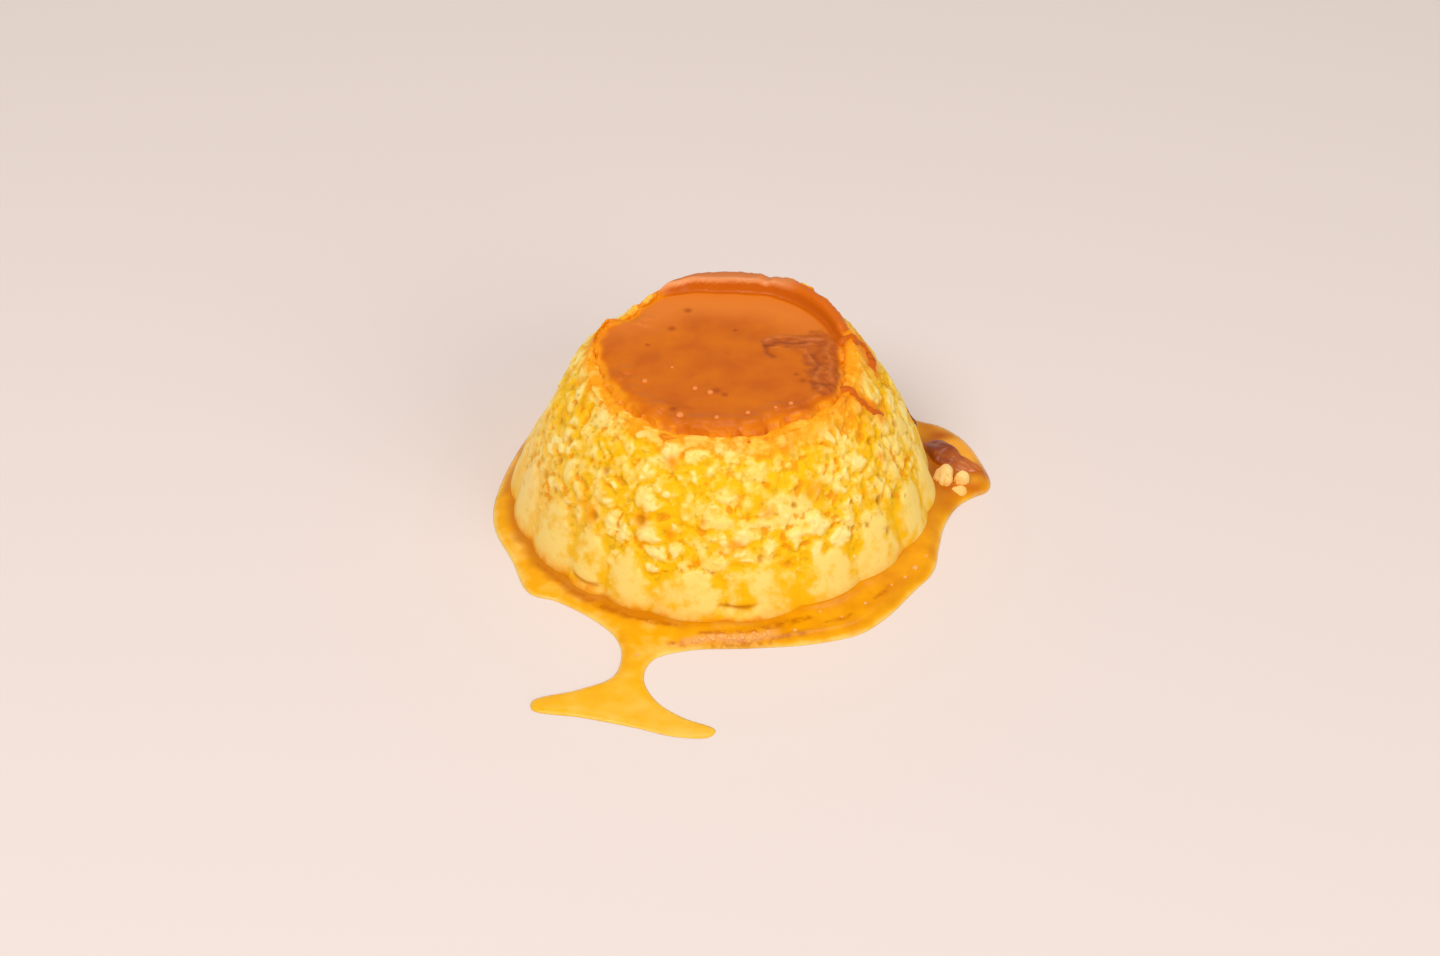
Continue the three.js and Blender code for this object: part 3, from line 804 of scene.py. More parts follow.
def make_custard(material):
    degrees = np.arange(AROUND) * 360 / AROUND
    radius, z, curdy, relief, beyond = custard_form(degrees)
    turned = np.broadcast_to(degrees, radius.shape)
    wave, arch = lobes(turned)
    valley = (1 - wave**1.6) * (1 - eased(arch, arch + 5, z))
    hole = 0
    for angle, height, size in HOLES:
        away = np.hypot(np.radians(turn_from(angle, turned)) * radius, z - height) / size
        hole = hole + bell(away**1.5) * (beyond > 2)
    near_run = np.minimum.reduce([distance_to_path(*across_level(radius, degrees), run) for run in RUNS])
    piece = ring_piece(
        "custard_body", radius, z, 0, HOLLOW_FLOOR - HIDDEN_OVERLAP,
        curdy=curdy,
        relief=relief,
        golden=0.9 * valley + patches(turned, z, GOLDEN),
        pitted=0.25 * curdy + patches(turned, z, PITTED),
        # Painted light: the left side made paler where the light falls on it
        pale_side=patches(turned, z, [LIT_LEFT_SIDE]),
        coat=around_circle(COATED, turned) - beyond,
        tinge=1 - beyond / around_circle(TINGED, turned),
        orange=ORANGE_STRENGTH * patches(turned, z, ORANGE),
        stain=bell(near_run / STAIN_REACH) * (z > STAIN_ABOVE),
        # Where the small foot folds' creases are painted darker, as shade
        crease=sum(fold_shares(turned, z - 0.3, *fold[:3])[0] for fold in FOOT_FOLDS),
        soak=around_circle(SOAKED, turned) - z,
        hole=hole,
    )
    return finish_with(piece, curd_tree(material))


# The caramel on top

def run_over_shoulder(degrees, flows):
    """Rows of the caramel's distance out from its edge, and height, where it runs onto the shoulder."""
    edge = caramel_edge(degrees)
    x, y = across_level(24, degrees)
    wander = sum(much * noise_at(x, y, size, 4.0) for much, size in EDGE_WANDER)
    coated = around_circle(COATED, degrees) + wander * (0.6 + 0.4 * flows)
    form_radius, form_z, _, _, beyond = custard_form(degrees)
    columns = zip(coated, beyond.T, form_radius.T)
    reach = np.array([np.interp(far, way[::-1], r[::-1]) for far, way, r in columns]) - edge
    out = RUN_FROM + (reach + RUN_PAST - RUN_FROM) * np.linspace(0, 1, RUN_ROWS)[:, None]
    own = CARAMEL_TOP - flows * EDGE_FALL * eased(-2.5, 0.8, out) ** 1.5
    own = own - LIP_SLOPE * np.maximum(out - np.minimum(reach - 0.7, 0.7), 0)
    columns = zip((edge + out).T, form_radius[:FOOT_ROWS:-1].T, form_z[:FOOT_ROWS:-1].T)
    bare = np.array([np.interp(r, radii, heights) for r, radii, heights in columns]).T
    film = FILM_THICKNESS * (1 - eased(reach - FILM_FADE, reach - 0.2, out))
    film = film - FILM_BURIED * eased(reach - 0.8 * FILM_FADE, reach + 0.8, out)
    return out, smooth_larger(own, bare + film, 0.3 + 0.9 * (1 - around_circle(WALLED, degrees)))


def wall_and_crest(degrees, out, z):
    """Where the caramel climbs the standing rim's inner wall, and where it lies on its crest."""
    lip = HOLLOW_GAP + RIM_LEAN * (rim_height(degrees) - HOLLOW_FLOOR)
    shoulder = rim_height(degrees) - RIM_ROUND
    raised = np.maximum(eased(shoulder - 0.3, shoulder + 0.5, z), eased(lip + 0.5, lip + 1, out))
    walled = around_circle(WALLED, degrees)
    return walled * eased(-0.2, 0.15, out) * (1 - raised), walled * eased(0, 0.5, out) * raised


def caramel_marks(x, y, degrees, inside, level, flows):
    """The small relief of the caramel's surface, and the values that colour it."""
    band = distance_to_path(x, y, SKIN_BAND)
    skin = eased(1.2, 0.7, band + 0.45 * noise_at(x, y, 1.6, 5.0)) * level
    wrinkle = noise_at(x, y, 1.6, 9.0) + 0.6 * noise_at(x, y, 0.7, 2.0)
    # The folds and grooves raise and sink the skin; their colour adds a painted highlight on the folds and
    # painted shade in the grooves
    fold = near_paths(x, y, SKIN_FOLDS, FOLD_WIDTH) * level
    groove = near_paths(x, y, SKIN_GROOVES, GROOVE_WIDTH) * level
    speck = sum(bell((np.hypot(x - a, y - b) / r) ** 1.5) for a, b, r in TOP_SPECKS)
    speck = speck + 0.5 * near_paths(x, y, DARK_LINES) * level
    near_front = flows * eased(5.5, 2.5, inside + noise_at(x, y, 5, 2.0)) * eased(-1.2, 0, inside)
    lumps = near_front * lumps_at(x, y, 2.6, 3.0)
    relief = WRINKLE_HEIGHT * (skin * wrinkle + fold - groove) + SKIN_THICKNESS * skin - SPECK_DEPTH * speck
    relief = level * (relief + SLOW_WAVE_HEIGHT * noise_at(x, y, 8, 1.0)) + EDGE_LUMP_HEIGHT * lumps
    blotches = 0.55 * noise_at(x, y, 3, 7.0) + 0.2 * noise_at(x, y, 1.3, 4.0)
    thin = eased(1, -0.3, inside / around_circle(THINNED, degrees) + blotches)
    golden = thin * around_circle(GOLDEN_FILM, degrees)
    patchy = eased(-0.5, 0.4, noise_at(x, y, 1.4, 8.0))
    free = flows * patchy * eased(FREE_EDGE, -0.3, inside + 0.4 * noise_at(x, y, 1.8, 6.0))
    return relief, {
        "depth": 0.8 - 0.36 * thin - 0.4 * golden - 0.3 * free - 0.12 * lumps,
        "skin": skin,
        "fold": fold,
        "groove": groove,
        "speck": speck,
        # Painted reflection: the level coloured lighter towards its back, as the sheen of bright surroundings
        "far": eased(-2, 14, y) * eased(12, 3, inside) * level,
    }


def make_caramel_top(material):
    """Rings that close in on the caramel's middle, with rows that run out over its edge."""
    degrees = np.arange(CARAMEL_AROUND) * 360 / CARAMEL_AROUND
    edge = caramel_edge(degrees)
    flows = eased(0.6, -0.5, around_circle(RIM_RISE, degrees))
    out, run_z = run_over_shoulder(degrees, flows)
    start = edge + RUN_FROM
    still = 0 * start
    share = np.linspace(1, 0.01, CARAMEL_RINGS)[1:, None]
    underside = CARAMEL_TOP - CARAMEL_THICKNESS - HIDDEN_OVERLAP
    radius = np.vstack([[start], (edge + out)[::-1], start * share])
    z = np.vstack([[still + underside], run_z[::-1], CARAMEL_TOP - CARAMEL_SAG * (1 - share**6) + still])
    z[1] -= RUN_BURIED
    wall, crest = (
        np.vstack([[still], rows[::-1], 0 * share + still]) for rows in wall_and_crest(degrees, out, run_z)
    )
    x, y = across_level(radius, degrees)
    inside = edge - radius
    relief, values = caramel_marks(x, y, degrees, inside, eased(-0.5, 0.5, inside), flows)
    lit = crest * around_circle(LIT_CREST, degrees)
    return ring_piece("caramel_layer", radius, z + relief, underside, CARAMEL_TOP - CARAMEL_SAG, material,
                      wall=wall, crest=crest, lit=lit, outer=lit * eased(1.2, 2.4, -inside), **values)


# The sauce

def sauce_outline():
    marks = [Vector(mark) for mark in FRONT_OUTLINE]
    marks += [at_angle(BASE_RADIUS + width, degrees) for degrees, width in BACK_WIDTHS]
    line = []
    for n in range(len(marks)):
        four = [marks[(n + k) % len(marks)] for k in (-1, 0, 1, 2)]
        steps = max(2, round((four[2] - four[1]).length / (0.7 * SAUCE_STEP)))
        line += [centripetal(*four, k / steps) for k in range(steps)]
    return line


def centripetal(before, start, end, after, share):
    """A point between start and end on the centripetal Catmull-Rom curve through four marks."""
    times = [0.0]
    for a, b in ((before, start), (start, end), (end, after)):
        times.append(times[-1] + math.sqrt((b - a).length))
    t = times[1] + share * (times[2] - times[1])

    def between(a, b, low, high):
        return a * ((high - t) / (high - low)) + b * ((t - low) / (high - low))

    middle = between(start, end, *times[1:3])
    left = between(between(before, start, *times[0:2]), middle, times[0], times[2])
    right = between(middle, between(end, after, *times[2:4]), times[1], times[3])
    return between(left, right, *times[1:3])


def within(points, outline):
    """Which points lie inside a closed outline."""
    x, y = points.T
    inside = np.zeros(len(points), bool)
    for (ax, ay), (bx, by) in zip(outline, np.roll(outline, -1, 0)):
        crosses = (ay > y) != (by > y)
        with np.errstate(divide="ignore", invalid="ignore"):
            inside ^= crosses & (x < (bx - ax) * (y - ay) / (by - ay) + ax)
    return inside


def foot_radius(degrees):
    """Where the sauce ends under the custard's foot."""
    return side_radius(degrees, 0.5) - SAUCE_UNDER_FOOT


def scattered_points(outline, edge_tree, foot):
    """Uneven rows of points between the outline and the foot."""
    (low_x, low_y), (high_x, high_y) = np.min(outline, 0), np.max(outline, 0)
    seeded = random.Random(8)
    inner = []
    for row, y in enumerate(np.arange(low_y, high_y, SAUCE_STEP * SAUCE_ROW_PITCH)):
        for x in np.arange(low_x, high_x, SAUCE_STEP):
            jitter = Vector((seeded.uniform(-1, 1), seeded.uniform(-1, 1)))
            spot = Vector((x + (row % 2) * SAUCE_STEP / 2, y)) + SAUCE_STRAY * jitter
            angle = math.degrees(math.atan2(spot.y, spot.x))
            outside_foot = spot.length > np.interp(angle, range(360), foot, period=360) + 0.3
            if outside_foot and edge_tree.find(spot.to_3d())[2] > 0.5 * SAUCE_STEP:
                inner.append(spot)
    return inner


def flat_sauce(outline, edge_tree):
    """A flat sheet of triangles that face up, between the outline and the custard's foot."""
    foot = foot_radius(np.arange(360.0))
    ring = [at_angle(radius, degrees) for degrees, radius in enumerate(foot)]
    count = len(outline)
    edges = [(n, (n + 1) % count) for n in range(count)]
    edges += [(count + n, count + (n + 1) % 360) for n in range(360)]
    spots = outline + ring + scattered_points(outline, edge_tree, foot)
    flat, _, triangles, _, _, _ = delaunay_2d_cdt(spots, edges, [], 0, 1e-5)
    flat, triangles = np.array(flat), np.array(triangles)
    middle = flat[triangles].mean(1)
    angle = np.degrees(np.arctan2(middle[:, 1], middle[:, 0]))
    keep = within(middle, np.array(outline))
    keep &= np.hypot(*middle.T) > np.interp(angle, range(360), foot, period=360) - 0.02
    used, top = np.unique(triangles[keep], return_inverse=True)
    flat, top = flat[used], top.reshape(-1, 3)
    corners = flat[top]
    turned = np.cross(corners[:, 1] - corners[:, 0], corners[:, 2] - corners[:, 0])
    top[turned < 0] = top[turned < 0][:, ::-1]
    return flat, top


def walls_round(top, under):
    """Triangles that join a sheet's open edges to the same sheet further on in the list of points."""
    sides = dict.fromkeys((a, b) for face in top.tolist() for a, b in zip(face, face[1:] + face[:1]))
    walls = []
    for a, b in sides:
        if (b, a) not in sides:
            walls += [(b, a, a + under), (b, a + under, b + under)]
    return walls


def sauce_height(flat, from_edge):
    """Height of the sauce's surface at flat points, and the values that colour it."""
    x, y = flat.T
    full = weights = 0
    for (a, b), depth in SAUCE_DEPTHS:
        weight = 1 / (np.hypot(x - a, y - b) + 2) ** 3
        full, weights = full + weight * depth, weights + weight
    full = full / weights
    angle = np.degrees(np.arctan2(y, x))
    from_foot = np.hypot(x, y) - side_radius(angle, 0.8)
    swell = np.sin(np.pi / 2 * np.clip(from_edge / SAUCE_EDGE, 0, 1)) ** 0.8
    climb = around_circle(CLIMB, angle) * np.exp(-np.maximum(from_foot, 0) / CLIMB_WIDTH)
    foam = near_paths(x, y, [FOAM_PATH], FOAM_WIDTH)
    swollen = (full + SAUCE_UNEVEN * noise_at(x, y, 5, 3.0)) * swell
    z = SAUCE_LEAST + swollen + climb * eased(0, 2.5, from_edge)
    z = z + foam * (FOAM_HEIGHT + FOAM_UNEVEN * noise_at(x, y, 1.2, 3.0))
    brown, gold = (
        sum(strength * bell((x - a) / wide, (y - b) / tall) for (a, b), (wide, tall), strength in marks)
        for marks in (BROWN_END, GOLD_END)
    )
    shaded = from_foot - around_circle(SHADE_REACH, angle) + 0.8 * noise_at(x, y, 3, 5.0)
    return z, {
        "depth": full * np.sin(np.pi / 2 * np.clip(from_edge / (SAUCE_EDGE * 0.5), 0, 1)),
        "foam": foam,
        "brown": brown,
        "gold": gold,
        "shade": around_circle(FOOT_SHADE, angle) * eased(0, -2.2, shaded),
        "streak": near_paths(x, y, SAUCE_STREAKS, STREAK_WIDTH),
        "tail": eased(-46, -60, y),
    }


def make_sauce(material):
    """The flat sheet raised to the sauce's surface, with a copy on the ground and walls between them."""
    outline = sauce_outline()
    edge_tree = KDTree(len(outline))
    for n, point in enumerate(outline):
        edge_tree.insert(point.to_3d(), n)
    edge_tree.balance()
    flat, top = flat_sauce(outline, edge_tree)
    z, values = sauce_height(flat, np.array([edge_tree.find((x, y, 0))[2] for x, y in flat]))
    points = np.vstack([np.column_stack([flat, z]), np.column_stack([flat, 0 * z])])
    faces = np.vstack([top, top[:, ::-1] + len(flat), walls_round(top, len(flat))])
    values = {key: np.tile(value, 2) for key, value in values.items()}
    return new_piece("sauce", points, faces, material, **values)


# Runs and bubbles

def finely(path):
    """The points of a path and more between them, RUN_STEP apart, with an uneven width."""
    marks = np.array(path, float)
    way = np.append(0, np.cumsum(np.hypot(*np.diff(marks[:, :2], axis=0).T)))
    steps = np.linspace(0, way[-1], max(3, round(way[-1] / RUN_STEP)))
    x, y, wide = (np.interp(steps, way, column) for column in marks.T)
    return zip(x, y, wide * (1 + RUN_UNEVEN * noise_at(x, y, 1.1, 4.0)))


def make_run(name, spots, material):
    """A tube along places that each end in their half width."""
    spots = np.array(spots)
    edges = [(n, n + 1) for n in range(len(spots) - 1)]
    line = new_piece(name, spots[:, :3], [], edges=edges, width=spots[:, 3] * MM)
    return finish_with(line, tube_tree(material))


def make_runs(material, side_material, surface):
    pieces = []
    for n, run in enumerate(RUNS):
        spots = [(x, y, top_of(surface, x, y) - RUN_SUNK * wide, wide) for x, y, wide in finely(run)]
        pieces.append(make_run(f"caramel_run_{n + 1}", spots, material))
    spots = [(*side_of(surface, degrees, z, RUN_SUNK * wide), wide) for degrees, z, wide in SIDE_RUN]
    return [*pieces, make_run("caramel_side_run", spots, side_material)]


def make_beads(name, marks, surface, material, **sizes):
    """Small rounded beads on a surface, each given as a place and a radius."""
    spots = [(x, y, top_of(surface, x, y)) for x, y, _ in marks]
    widths = [radius * MM for _, _, radius in marks]
    return finish_with(new_piece(name, spots, [], width=widths), beads_tree(material), **sizes)


def foam_marks():
    """Places and radii of fine bubbles, scattered along the line of froth."""
    seeded = random.Random(12)
    marks = []
    for _ in range(FOAM_BUBBLES):
        n = seeded.randrange(len(FOAM_PATH) - 1)
        (ax, ay), (bx, by) = FOAM_PATH[n], FOAM_PATH[n + 1]
        share = seeded.random()
        x = ax + share * (bx - ax) + seeded.gauss(0, FOAM_SPREAD[0])
        y = ay + share * (by - ay) + seeded.gauss(0, FOAM_SPREAD[1])
        marks.append((x, y, seeded.uniform(*FOAM_RADII)))
    return marks


# Broken pieces

def lump(middle, half, unevenness):
    """A rounded lump, not yet turned, and its faces. It is uneven by shares of its size over lengths."""
    shape = bmesh.new()
    bmesh.ops.create_icosphere(shape, subdivisions=5, radius=1)
    points = np.array([vertex.co[:] for vertex in shape.verts])
    faces = [[vertex.index for vertex in face.verts] for face in shape.faces]
    shape.free()
    x, y, z = (points + middle).T
    lumpy = 1 + sum(share * noise_at(x, y, size, 2.0, z) for share, size in unevenness)
    along, across, up = (points * half * lumpy[:, None]).T
    return along, across, np.maximum(up + middle[2], LUMP_UNDERSIDE), faces


def turned_by(along, across, middle, turn):
    """Places along and across a lump, turned with it and set at its middle."""
    cos, sin = math.cos(math.radians(turn)), math.sin(math.radians(turn))
    return middle[0] + along * cos - across * sin, middle[1] + along * sin + across * cos


def make_crumbs(material):
    tree = curd_tree(material)
    unused = dict.fromkeys(("golden", "pitted", "orange", "hole", "stain", "crease"), 0)
    pieces = []
    for n, (middle, half, turn) in enumerate(CRUMBS):
        along, across, z, faces = lump(middle, half, CRUMB_UNEVEN)
        points = np.stack([*turned_by(along, across, middle, turn), z], -1)
        crumb = new_piece(f"custard_crumb_{n + 1}", points, faces, material, **unused,
                          curdy=0.5, relief=1, pale_side=1.5, coat=-5, tinge=-1, soak=1.2 - z)
        sizes = {"curd_size": CRUMB_CURD_SIZE * MM, "curd_depth": CRUMB_CURD_DEPTH * MM, "seed": 5.0 + n}
        pieces.append(finish_with(crumb, tree, **sizes))
    return pieces


def make_set_caramel(material):
    """A drawn-out lump, high and wide at its left end, that sinks into the sauce towards its right end."""
    middle, half, turn = SET_CARAMEL
    along, across, z, faces = lump(middle, half, SET_CARAMEL_UNEVEN)
    x, y = turned_by(along, across, middle, turn)
    share = along / half[0]
    core = eased(0.15, -0.35, share)
    along = along * (1 - 0.06 * eased(0, 1, -share))
    across = across * (0.86 + 0.5 * core) * (1 + 0.25 * noise_at(x, y, 3.2, 3.0, z)) - 0.5 * (1 - share**2)
    swell = 0.35 * noise_at(x, y, 3.0, 6.0, z) + 0.12 * noise_at(x, y, 1.4, 8.0, z)
    z = np.where(z > 0.2, z * (0.84 + 0.4 * core) + swell, LUMP_UNDERSIDE)
    points = np.stack([*turned_by(along, across, middle, turn), np.maximum(z, LUMP_UNDERSIDE)], -1)
    return new_piece("set_caramel", points, faces, material,
                     mellow=eased(-0.35, 0.6, share), edge=eased(2.3, 1.4, z + 0.3 * share))


# Materials

def blend(share, first, second):
    return place(share.tree, "ShaderNodeMix", share, first, second, data_type="RGBA")


def layered(colour, *layers):
    """Lays sRGB colours over a colour in turn, each by its own share."""
    for share, layer in layers:
        colour = blend(share, colour, linear(*layer))
    return colour


def attributes(tree, *names):
    """The values that a piece carries, by name."""
    return [place(tree, "ShaderNodeAttribute", attribute_name=name, out=2) for name in names]


def use_group(tree, group, **values):
    added = tree.nodes.new("ShaderNodeGroup")
    added.node_tree = group
    give_named(added, **values)
    return {socket.name: Wire(socket) for socket in added.outputs}


def new_material(name):
    """A material with its node tree, its shader, and the point in the object's own space."""
    material = bpy.data.materials.new(name)
    material.use_nodes = True
    tree = material.node_tree
    return material, tree, tree.nodes["Principled BSDF"], place(tree, "ShaderNodeTexCoord", out=3)


def speckle(point, size, detail=2.0):
    """Noise from 0 to 1 with lumps of about the size given in millimetres."""
    return noise_wire(point, 1 / (size * MM), detail)


def about_zero(value, strength=1.0):
    """A value from 0 to 1 turned to plus or minus half the strength."""
    return (value - 0.5) * strength


def bumped(height, distance_mm, strength):
    return place(height.tree, "ShaderNodeBump",
                 named={"distance": distance_mm * MM, "strength": strength, "height": height})


def syrup_colour_group():
    """Colour of caramel syrup by how deep it lies, with a slow drift, and a height for its fine bump."""
    inputs = {
        "depth": ("Float", 1.0),
        "thin": ("Color", linear(252, 190, 60)),
        "middle": ("Color", linear(246, 150, 8)),
        "deep": ("Color", linear(214, 124, 0)),
        "middle_at": ("Float", 0.5),
        "drift": ("Float", 0.15),
        "drift_scale": ("Float", 200.0),
    }
    outputs = {"color": "Color", "height": "Float"}
    tree, given, result = new_group("syrup_colour", "ShaderNodeTree", inputs, outputs)
    point = place(tree, "ShaderNodeTexCoord", out=3)
    deep = given["depth"] + given["drift"] * (noise_wire(point, given["drift_scale"], 3.0) - 0.5)
    low = place(tree, "ShaderNodeMapRange", deep, 0.0, given["middle_at"], 0.0, 1.0)
    high = place(tree, "ShaderNodeMapRange", deep, given["middle_at"], 1.0, 0.0, 1.0)
    give(result["color"], blend(high, blend(low, given["thin"], given["middle"]), given["deep"]))
    give(result["height"], speckle(point, 1.2))
    return tree


def custard_material(syrup):
    material, tree, shader, point = new_material("custard")
    pale, low, pocket, pit, curds = attributes(tree, "pale", "low", "pocket", "pit", "curds")
    golden, orange, pale_side, tinge = attributes(tree, "golden", "orange", "pale_side", "tinge")
    coat, soak, stain, crease = attributes(tree, "coat", "soak", "stain", "crease")
    broad, middling, fine = (about_zero(speckle(point, size, 3.0)) for size in (7, 2.8, 0.8))

    # From smooth pale lobes, through golden creases and patches, to bright curds
    rich = 0.8 * golden + 0.45 * low - 0.35 * pale + 0.25 * curds + 2.4 * middling + 2.4 * broad + 0.5 * fine
    bright = ease(1.4 * speckle(point, 1.8) - 0.6 * golden + pale, 0.75, 1.35) * (0.6 * curds + 0.4)
    amber = calc("MAXIMUM", ease(2.0 * middling + 0.3 * low + pocket, 0.5, 1.1), orange)
    shaded = ease(0.12 * low + speckle(point, 1.1), 0.62, 0.76)
    colour = blend(ease(rich, 0.0, 0.95), linear(246, 211, 112), linear(243, 184, 2))
    colour = layered(
        colour,
        (bright, (247, 219, 132)),
        # Paler: painted light on the body's left side, and the crumbs' own pale colour
        (0.6 * pale_side, (243, 203, 132)),
        (0.85 * amber, (241, 153, 2)),
        (0.6 * shaded * curds, (208, 158, 14)),
        (0.75 * pit, (200, 130, 6)),
        # Darker golden-brown: a random tone where the noise runs high, and painted shade in the creases of
        # the foot folds
        (ease(1.4 * middling + crease, 0.2, 1.1, 0.0, 0.8), (196, 132, 12)),
    )

    # Caramel that coats the crest, tinges the custard beyond it and fades out down the side
    coat = coat + about_zero(speckle(point, 2.4), 2.4) - pale
    film = ease(coat, -0.5, 0.4)
    ragged = tinge + 2.0 * middling + 0.25 * low - 0.35 * bright + fine
    colour = layered(
        colour,
        (ease(tinge, 0.1, 0.6, 0.0, 0.7), (246, 178, 36)),
        (ease(ragged, 0.05, 1.0, 0.0, 0.94), (243, 150, 10)),
        (ease(1.2 * middling + stain, 0.1, 0.9, 0.0, 0.9), (238, 134, 8)),
    )
    coated = use_group(tree, syrup, depth=ease(coat, -0.4, 2.6), thin=linear(236, 140, 4),
                       middle=linear(222, 116, 2), deep=linear(208, 100, 4), drift=0.3)
    colour = blend(film, colour, coated["Color"])

    # Sauce soaked up from the foot
    soaked = soak + about_zero(speckle(point, 2.2), 2.6)
    wet = ease(soaked, -0.5, 0.8)
    colour = layered(colour, (0.5 * ease(soaked, -2.5, 0.5), (247, 166, 12)), (0.85 * wet, (236, 144, 2)))
    give_named(shader, base_color=colour, roughness=-0.26 * calc("MAXIMUM", film, wet) + 0.52,
               normal=bumped(speckle(point, 0.5, 3.0), 0.3, 0.3), subsurface_weight=0.3,
               subsurface_radius=(1.0, 0.55, 0.2), subsurface_scale=1.0 * MM, specular_ior_level=0.11)
    return material


def caramel_material(syrup):
    material, tree, shader, point = new_material("caramel")
    depth, skin, fold, groove, speck, wall, crest, lit, outer, far = attributes(
        tree, "depth", "skin", "fold", "groove", "speck", "wall", "crest", "lit", "outer", "far")
    made = use_group(tree, syrup, depth=depth, thin=linear(234, 141, 8), middle=linear(214, 110, 0),
                     deep=linear(194, 91, 6), middle_at=0.45, drift=1.3, drift_scale=150.0)
    wrinkled = ease(speckle(point, 1.6, 3.0), 0.62, 0.4)
    colour = layered(
        made["Color"],
        # Painted reflection, lighter towards the back of the level
        (0.9 * far, (222, 120, 36)),
        (0.9 * wall, (198, 90, 0)),
        (crest, (210, 98, 0)),
        (0.95 * lit, (254, 174, 112)),
        (0.8 * outer, (184, 92, 30)),
        (skin * (0.45 * wrinkled + 0.55), (172, 79, 14)),
        # Painted highlight on the folds, painted shade in the grooves
        (0.5 * fold, (208, 112, 46)),
        (0.7 * groove, (150, 62, 4)),
        (0.75 * speck, (164, 66, 0)),
    )
    give_named(shader, base_color=colour, roughness=0.1 * skin + 0.28,
               normal=bumped(made["Height"], 0.15, 0.2), specular_ior_level=0.17)
    return material


def sauce_material(syrup):
    material, tree, shader, point = new_material("sauce")
    depth, foam, brown, gold, shade, streak, tail = attributes(
        tree, "depth", "foam", "brown", "gold", "shade", "streak", "tail")
    made = use_group(tree, syrup, depth=calc("DIVIDE", depth, 1.9), thin=linear(246, 196, 96),
                     middle=linear(238, 164, 4), deep=linear(218, 136, 0), middle_at=0.45, drift=1.2,
                     drift_scale=240.0)
    patchy = ease(speckle(point, 1.4), 0.4, 0.6)
    colour = layered(
        made["Color"],
        (0.6 * tail, (244, 180, 34)),
        (brown, (188, 94, 6)),
        (gold, (243, 164, 44)),
        (0.85 * shade, (196, 112, 0)),
        # Darker streaks; the one along the custard's left foot is partly painted shade
        (streak * (0.6 * patchy + 0.4), (192, 106, 0)),
        (foam * (0.4 * patchy + 0.5), (236, 166, 90)),
    )
    give_named(shader, base_color=colour, roughness=0.22, normal=bumped(made["Height"], 0.12, 0.25),
               specular_ior_level=0.17, subsurface_weight=0.2, subsurface_radius=(1.0, 0.5, 0.1),
               subsurface_scale=1.0 * MM)
    return material


def set_caramel_material():
    material, tree, shader, point = new_material("set_caramel")
    mellow, edge = attributes(tree, "mellow", "edge")
    patchy = about_zero(speckle(point, 2), 1.6)
    colour = blend(mellow + patchy, linear(140, 62, 22), linear(184, 94, 22))
    at_edge = 0.9 * place(tree, "ShaderNodeClamp", edge + patchy)
    give_named(shader, base_color=layered(colour, (at_edge, (190, 98, 10))), roughness=0.26,
               specular_ior_level=0.35)
    return material


def plain_material(name, colour, roughness, gloss):
    material = bpy.data.materials.new(name)
    material.use_nodes = True
    give_named(material.node_tree.nodes["Principled BSDF"], base_color=linear(*colour), roughness=roughness,
               specular_ior_level=gloss)
    return material


# Stage

def make_stage():
    bpy.ops.mesh.primitive_plane_add(size=FLOOR_SIZE * MM, location=(0, 0, -FLOOR_GAP * MM))
    floor = bpy.context.object
    floor.name = "floor"
    floor.data.materials.append(plain_material("floor", (227, 211, 203), 0.7, 0.3))


def make_light(name, place_mm, size_mm, power):
    light = bpy.data.lights.new(name, "AREA")
    light.shape = "DISK"
    light.size = size_mm * MM
    light.energy = power
    lamp = bpy.data.objects.new(name, light)
    lamp.location = Vector(place_mm) * MM
    lamp.rotation_euler = (-lamp.location).to_track_quat("-Z", "Y").to_euler()
    bpy.context.scene.collection.objects.link(lamp)


def make_lights():
    make_light("key", (-350, -450, 800), 500, 5.2)
    make_light("fill", (600, -600, 380), 700, 3.3)
    make_light("overhead", (60, 260, 900), 500, 1.6)
    world = bpy.data.worlds.new("studio")
    world.use_nodes = True
    give_named(world.node_tree.nodes["Background"], color=(1, 1, 1, 1), strength=0.4)
    bpy.context.scene.world = world
    bpy.context.scene.view_settings.view_transform = "Standard"


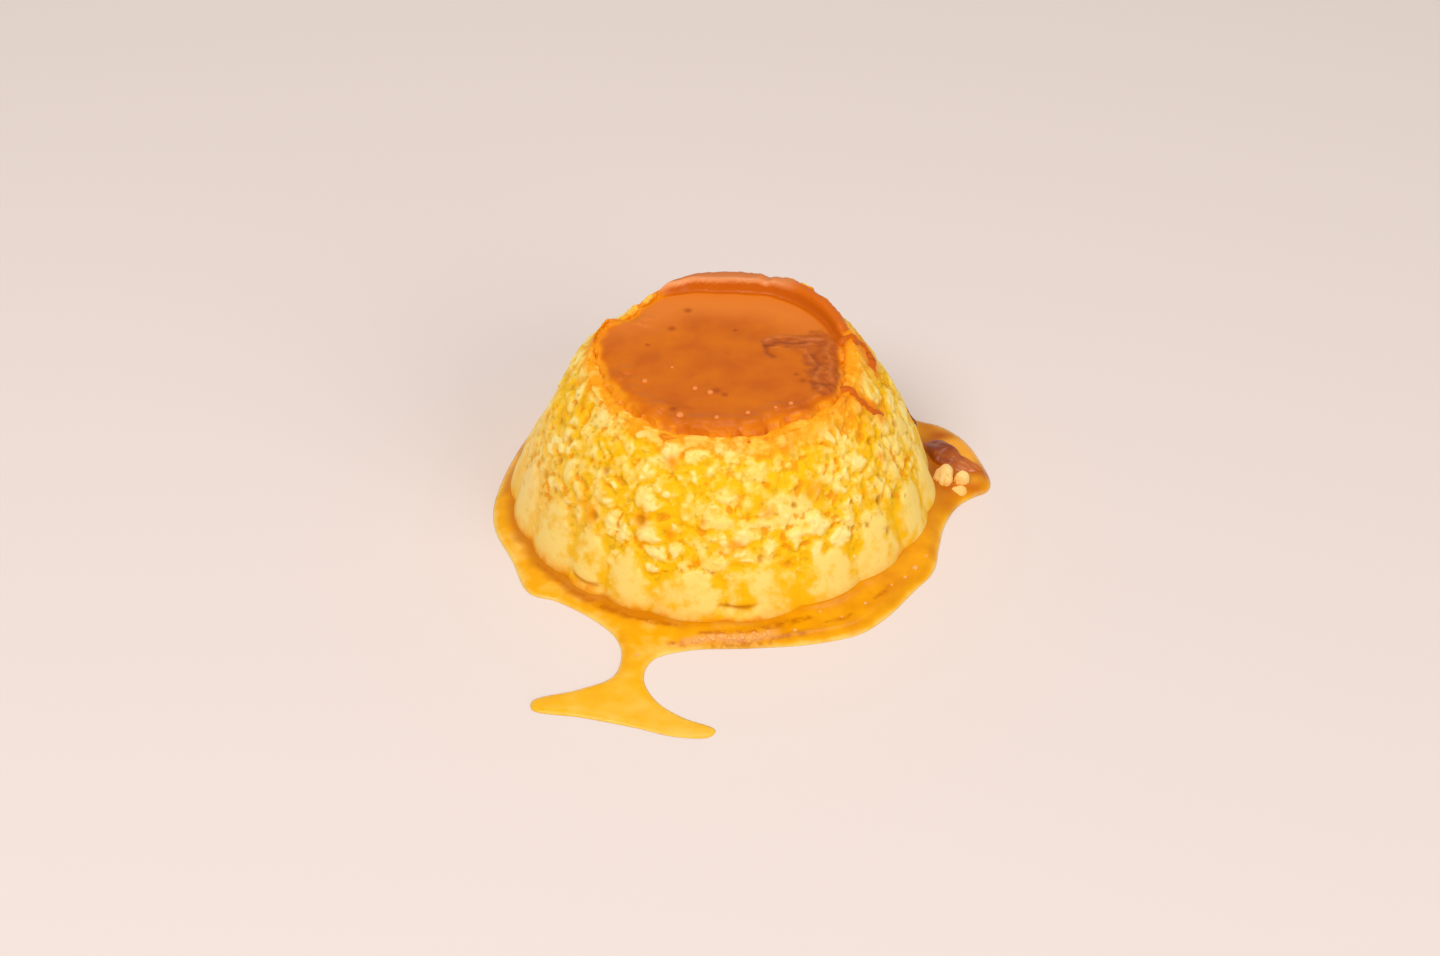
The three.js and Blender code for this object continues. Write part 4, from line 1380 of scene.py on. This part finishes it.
def make_camera():
    camera = bpy.data.cameras.new("camera")
    camera.lens = VIEW_LENS
    holder = bpy.data.objects.new("camera", camera)
    tilt = math.radians(VIEW_ELEVATION)
    holder.location = (Vector(VIEW_AIM) + VIEW_DISTANCE * Vector((0, -math.cos(tilt), math.sin(tilt)))) * MM
    holder.rotation_euler = (math.pi / 2 - tilt, 0, 0)
    bpy.context.scene.collection.objects.link(holder)
    bpy.context.scene.camera = holder


def dress(node, slot_name, *pieces):
    """Attaches pieces to the root to stand for a node of the frame, and hides the node. The slot name is not
    used.
    """
    for piece in pieces:
        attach(piece, "root")
        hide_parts(node)


make_camera()
make_lights()
make_stage()
syrup_colour = syrup_colour_group()
custard_finish = custard_material(syrup_colour)
caramel_finish = caramel_material(syrup_colour)
sauce_finish = sauce_material(syrup_colour)
set_finish = set_caramel_material()
run_finish = plain_material("caramel_run", (202, 94, 4), 0.4, 0.12)
# Bubbles on the caramel, coloured paler and pinker than it as a painted highlight
bubble_glint_finish = plain_material("syrup_bubble_glint", (226, 130, 58), 0.4, 0.2)
# The froth's own pale colour, also given to the bubbles in the sauce as a painted highlight
froth_and_glint_finish = plain_material("syrup_froth_and_glint", (238, 170, 92), 0.6, 0.1)

custard = make_custard(custard_finish)
caramel = make_caramel_top(caramel_finish)
sauce = make_sauce(sauce_finish)
custard_skin, caramel_skin, sauce_skin = surface_of(custard), surface_of(caramel), surface_of(sauce)
dress("custard", "custard", custard)
dress("caramel_top", "caramel", caramel)
dress("caramel_pool", "sauce", sauce)
dress("caramel_pool", "custard", *make_crumbs(custard_finish))
dress("caramel_pool", "caramel", make_set_caramel(set_finish))
dress("caramel_top", "caramel", *make_runs(run_finish, set_finish, custard_skin))
dress("caramel_top", "caramel", make_beads("caramel_bubbles", TOP_BUBBLES, caramel_skin, bubble_glint_finish))
dress("caramel_pool", "sauce", make_beads("sauce_bubbles", POOL_BUBBLES, sauce_skin, froth_and_glint_finish))
dress("caramel_pool", "sauce",
      make_beads("sauce_froth", foam_marks(), sauce_skin, froth_and_glint_finish, flatness=0.55, fineness=2))
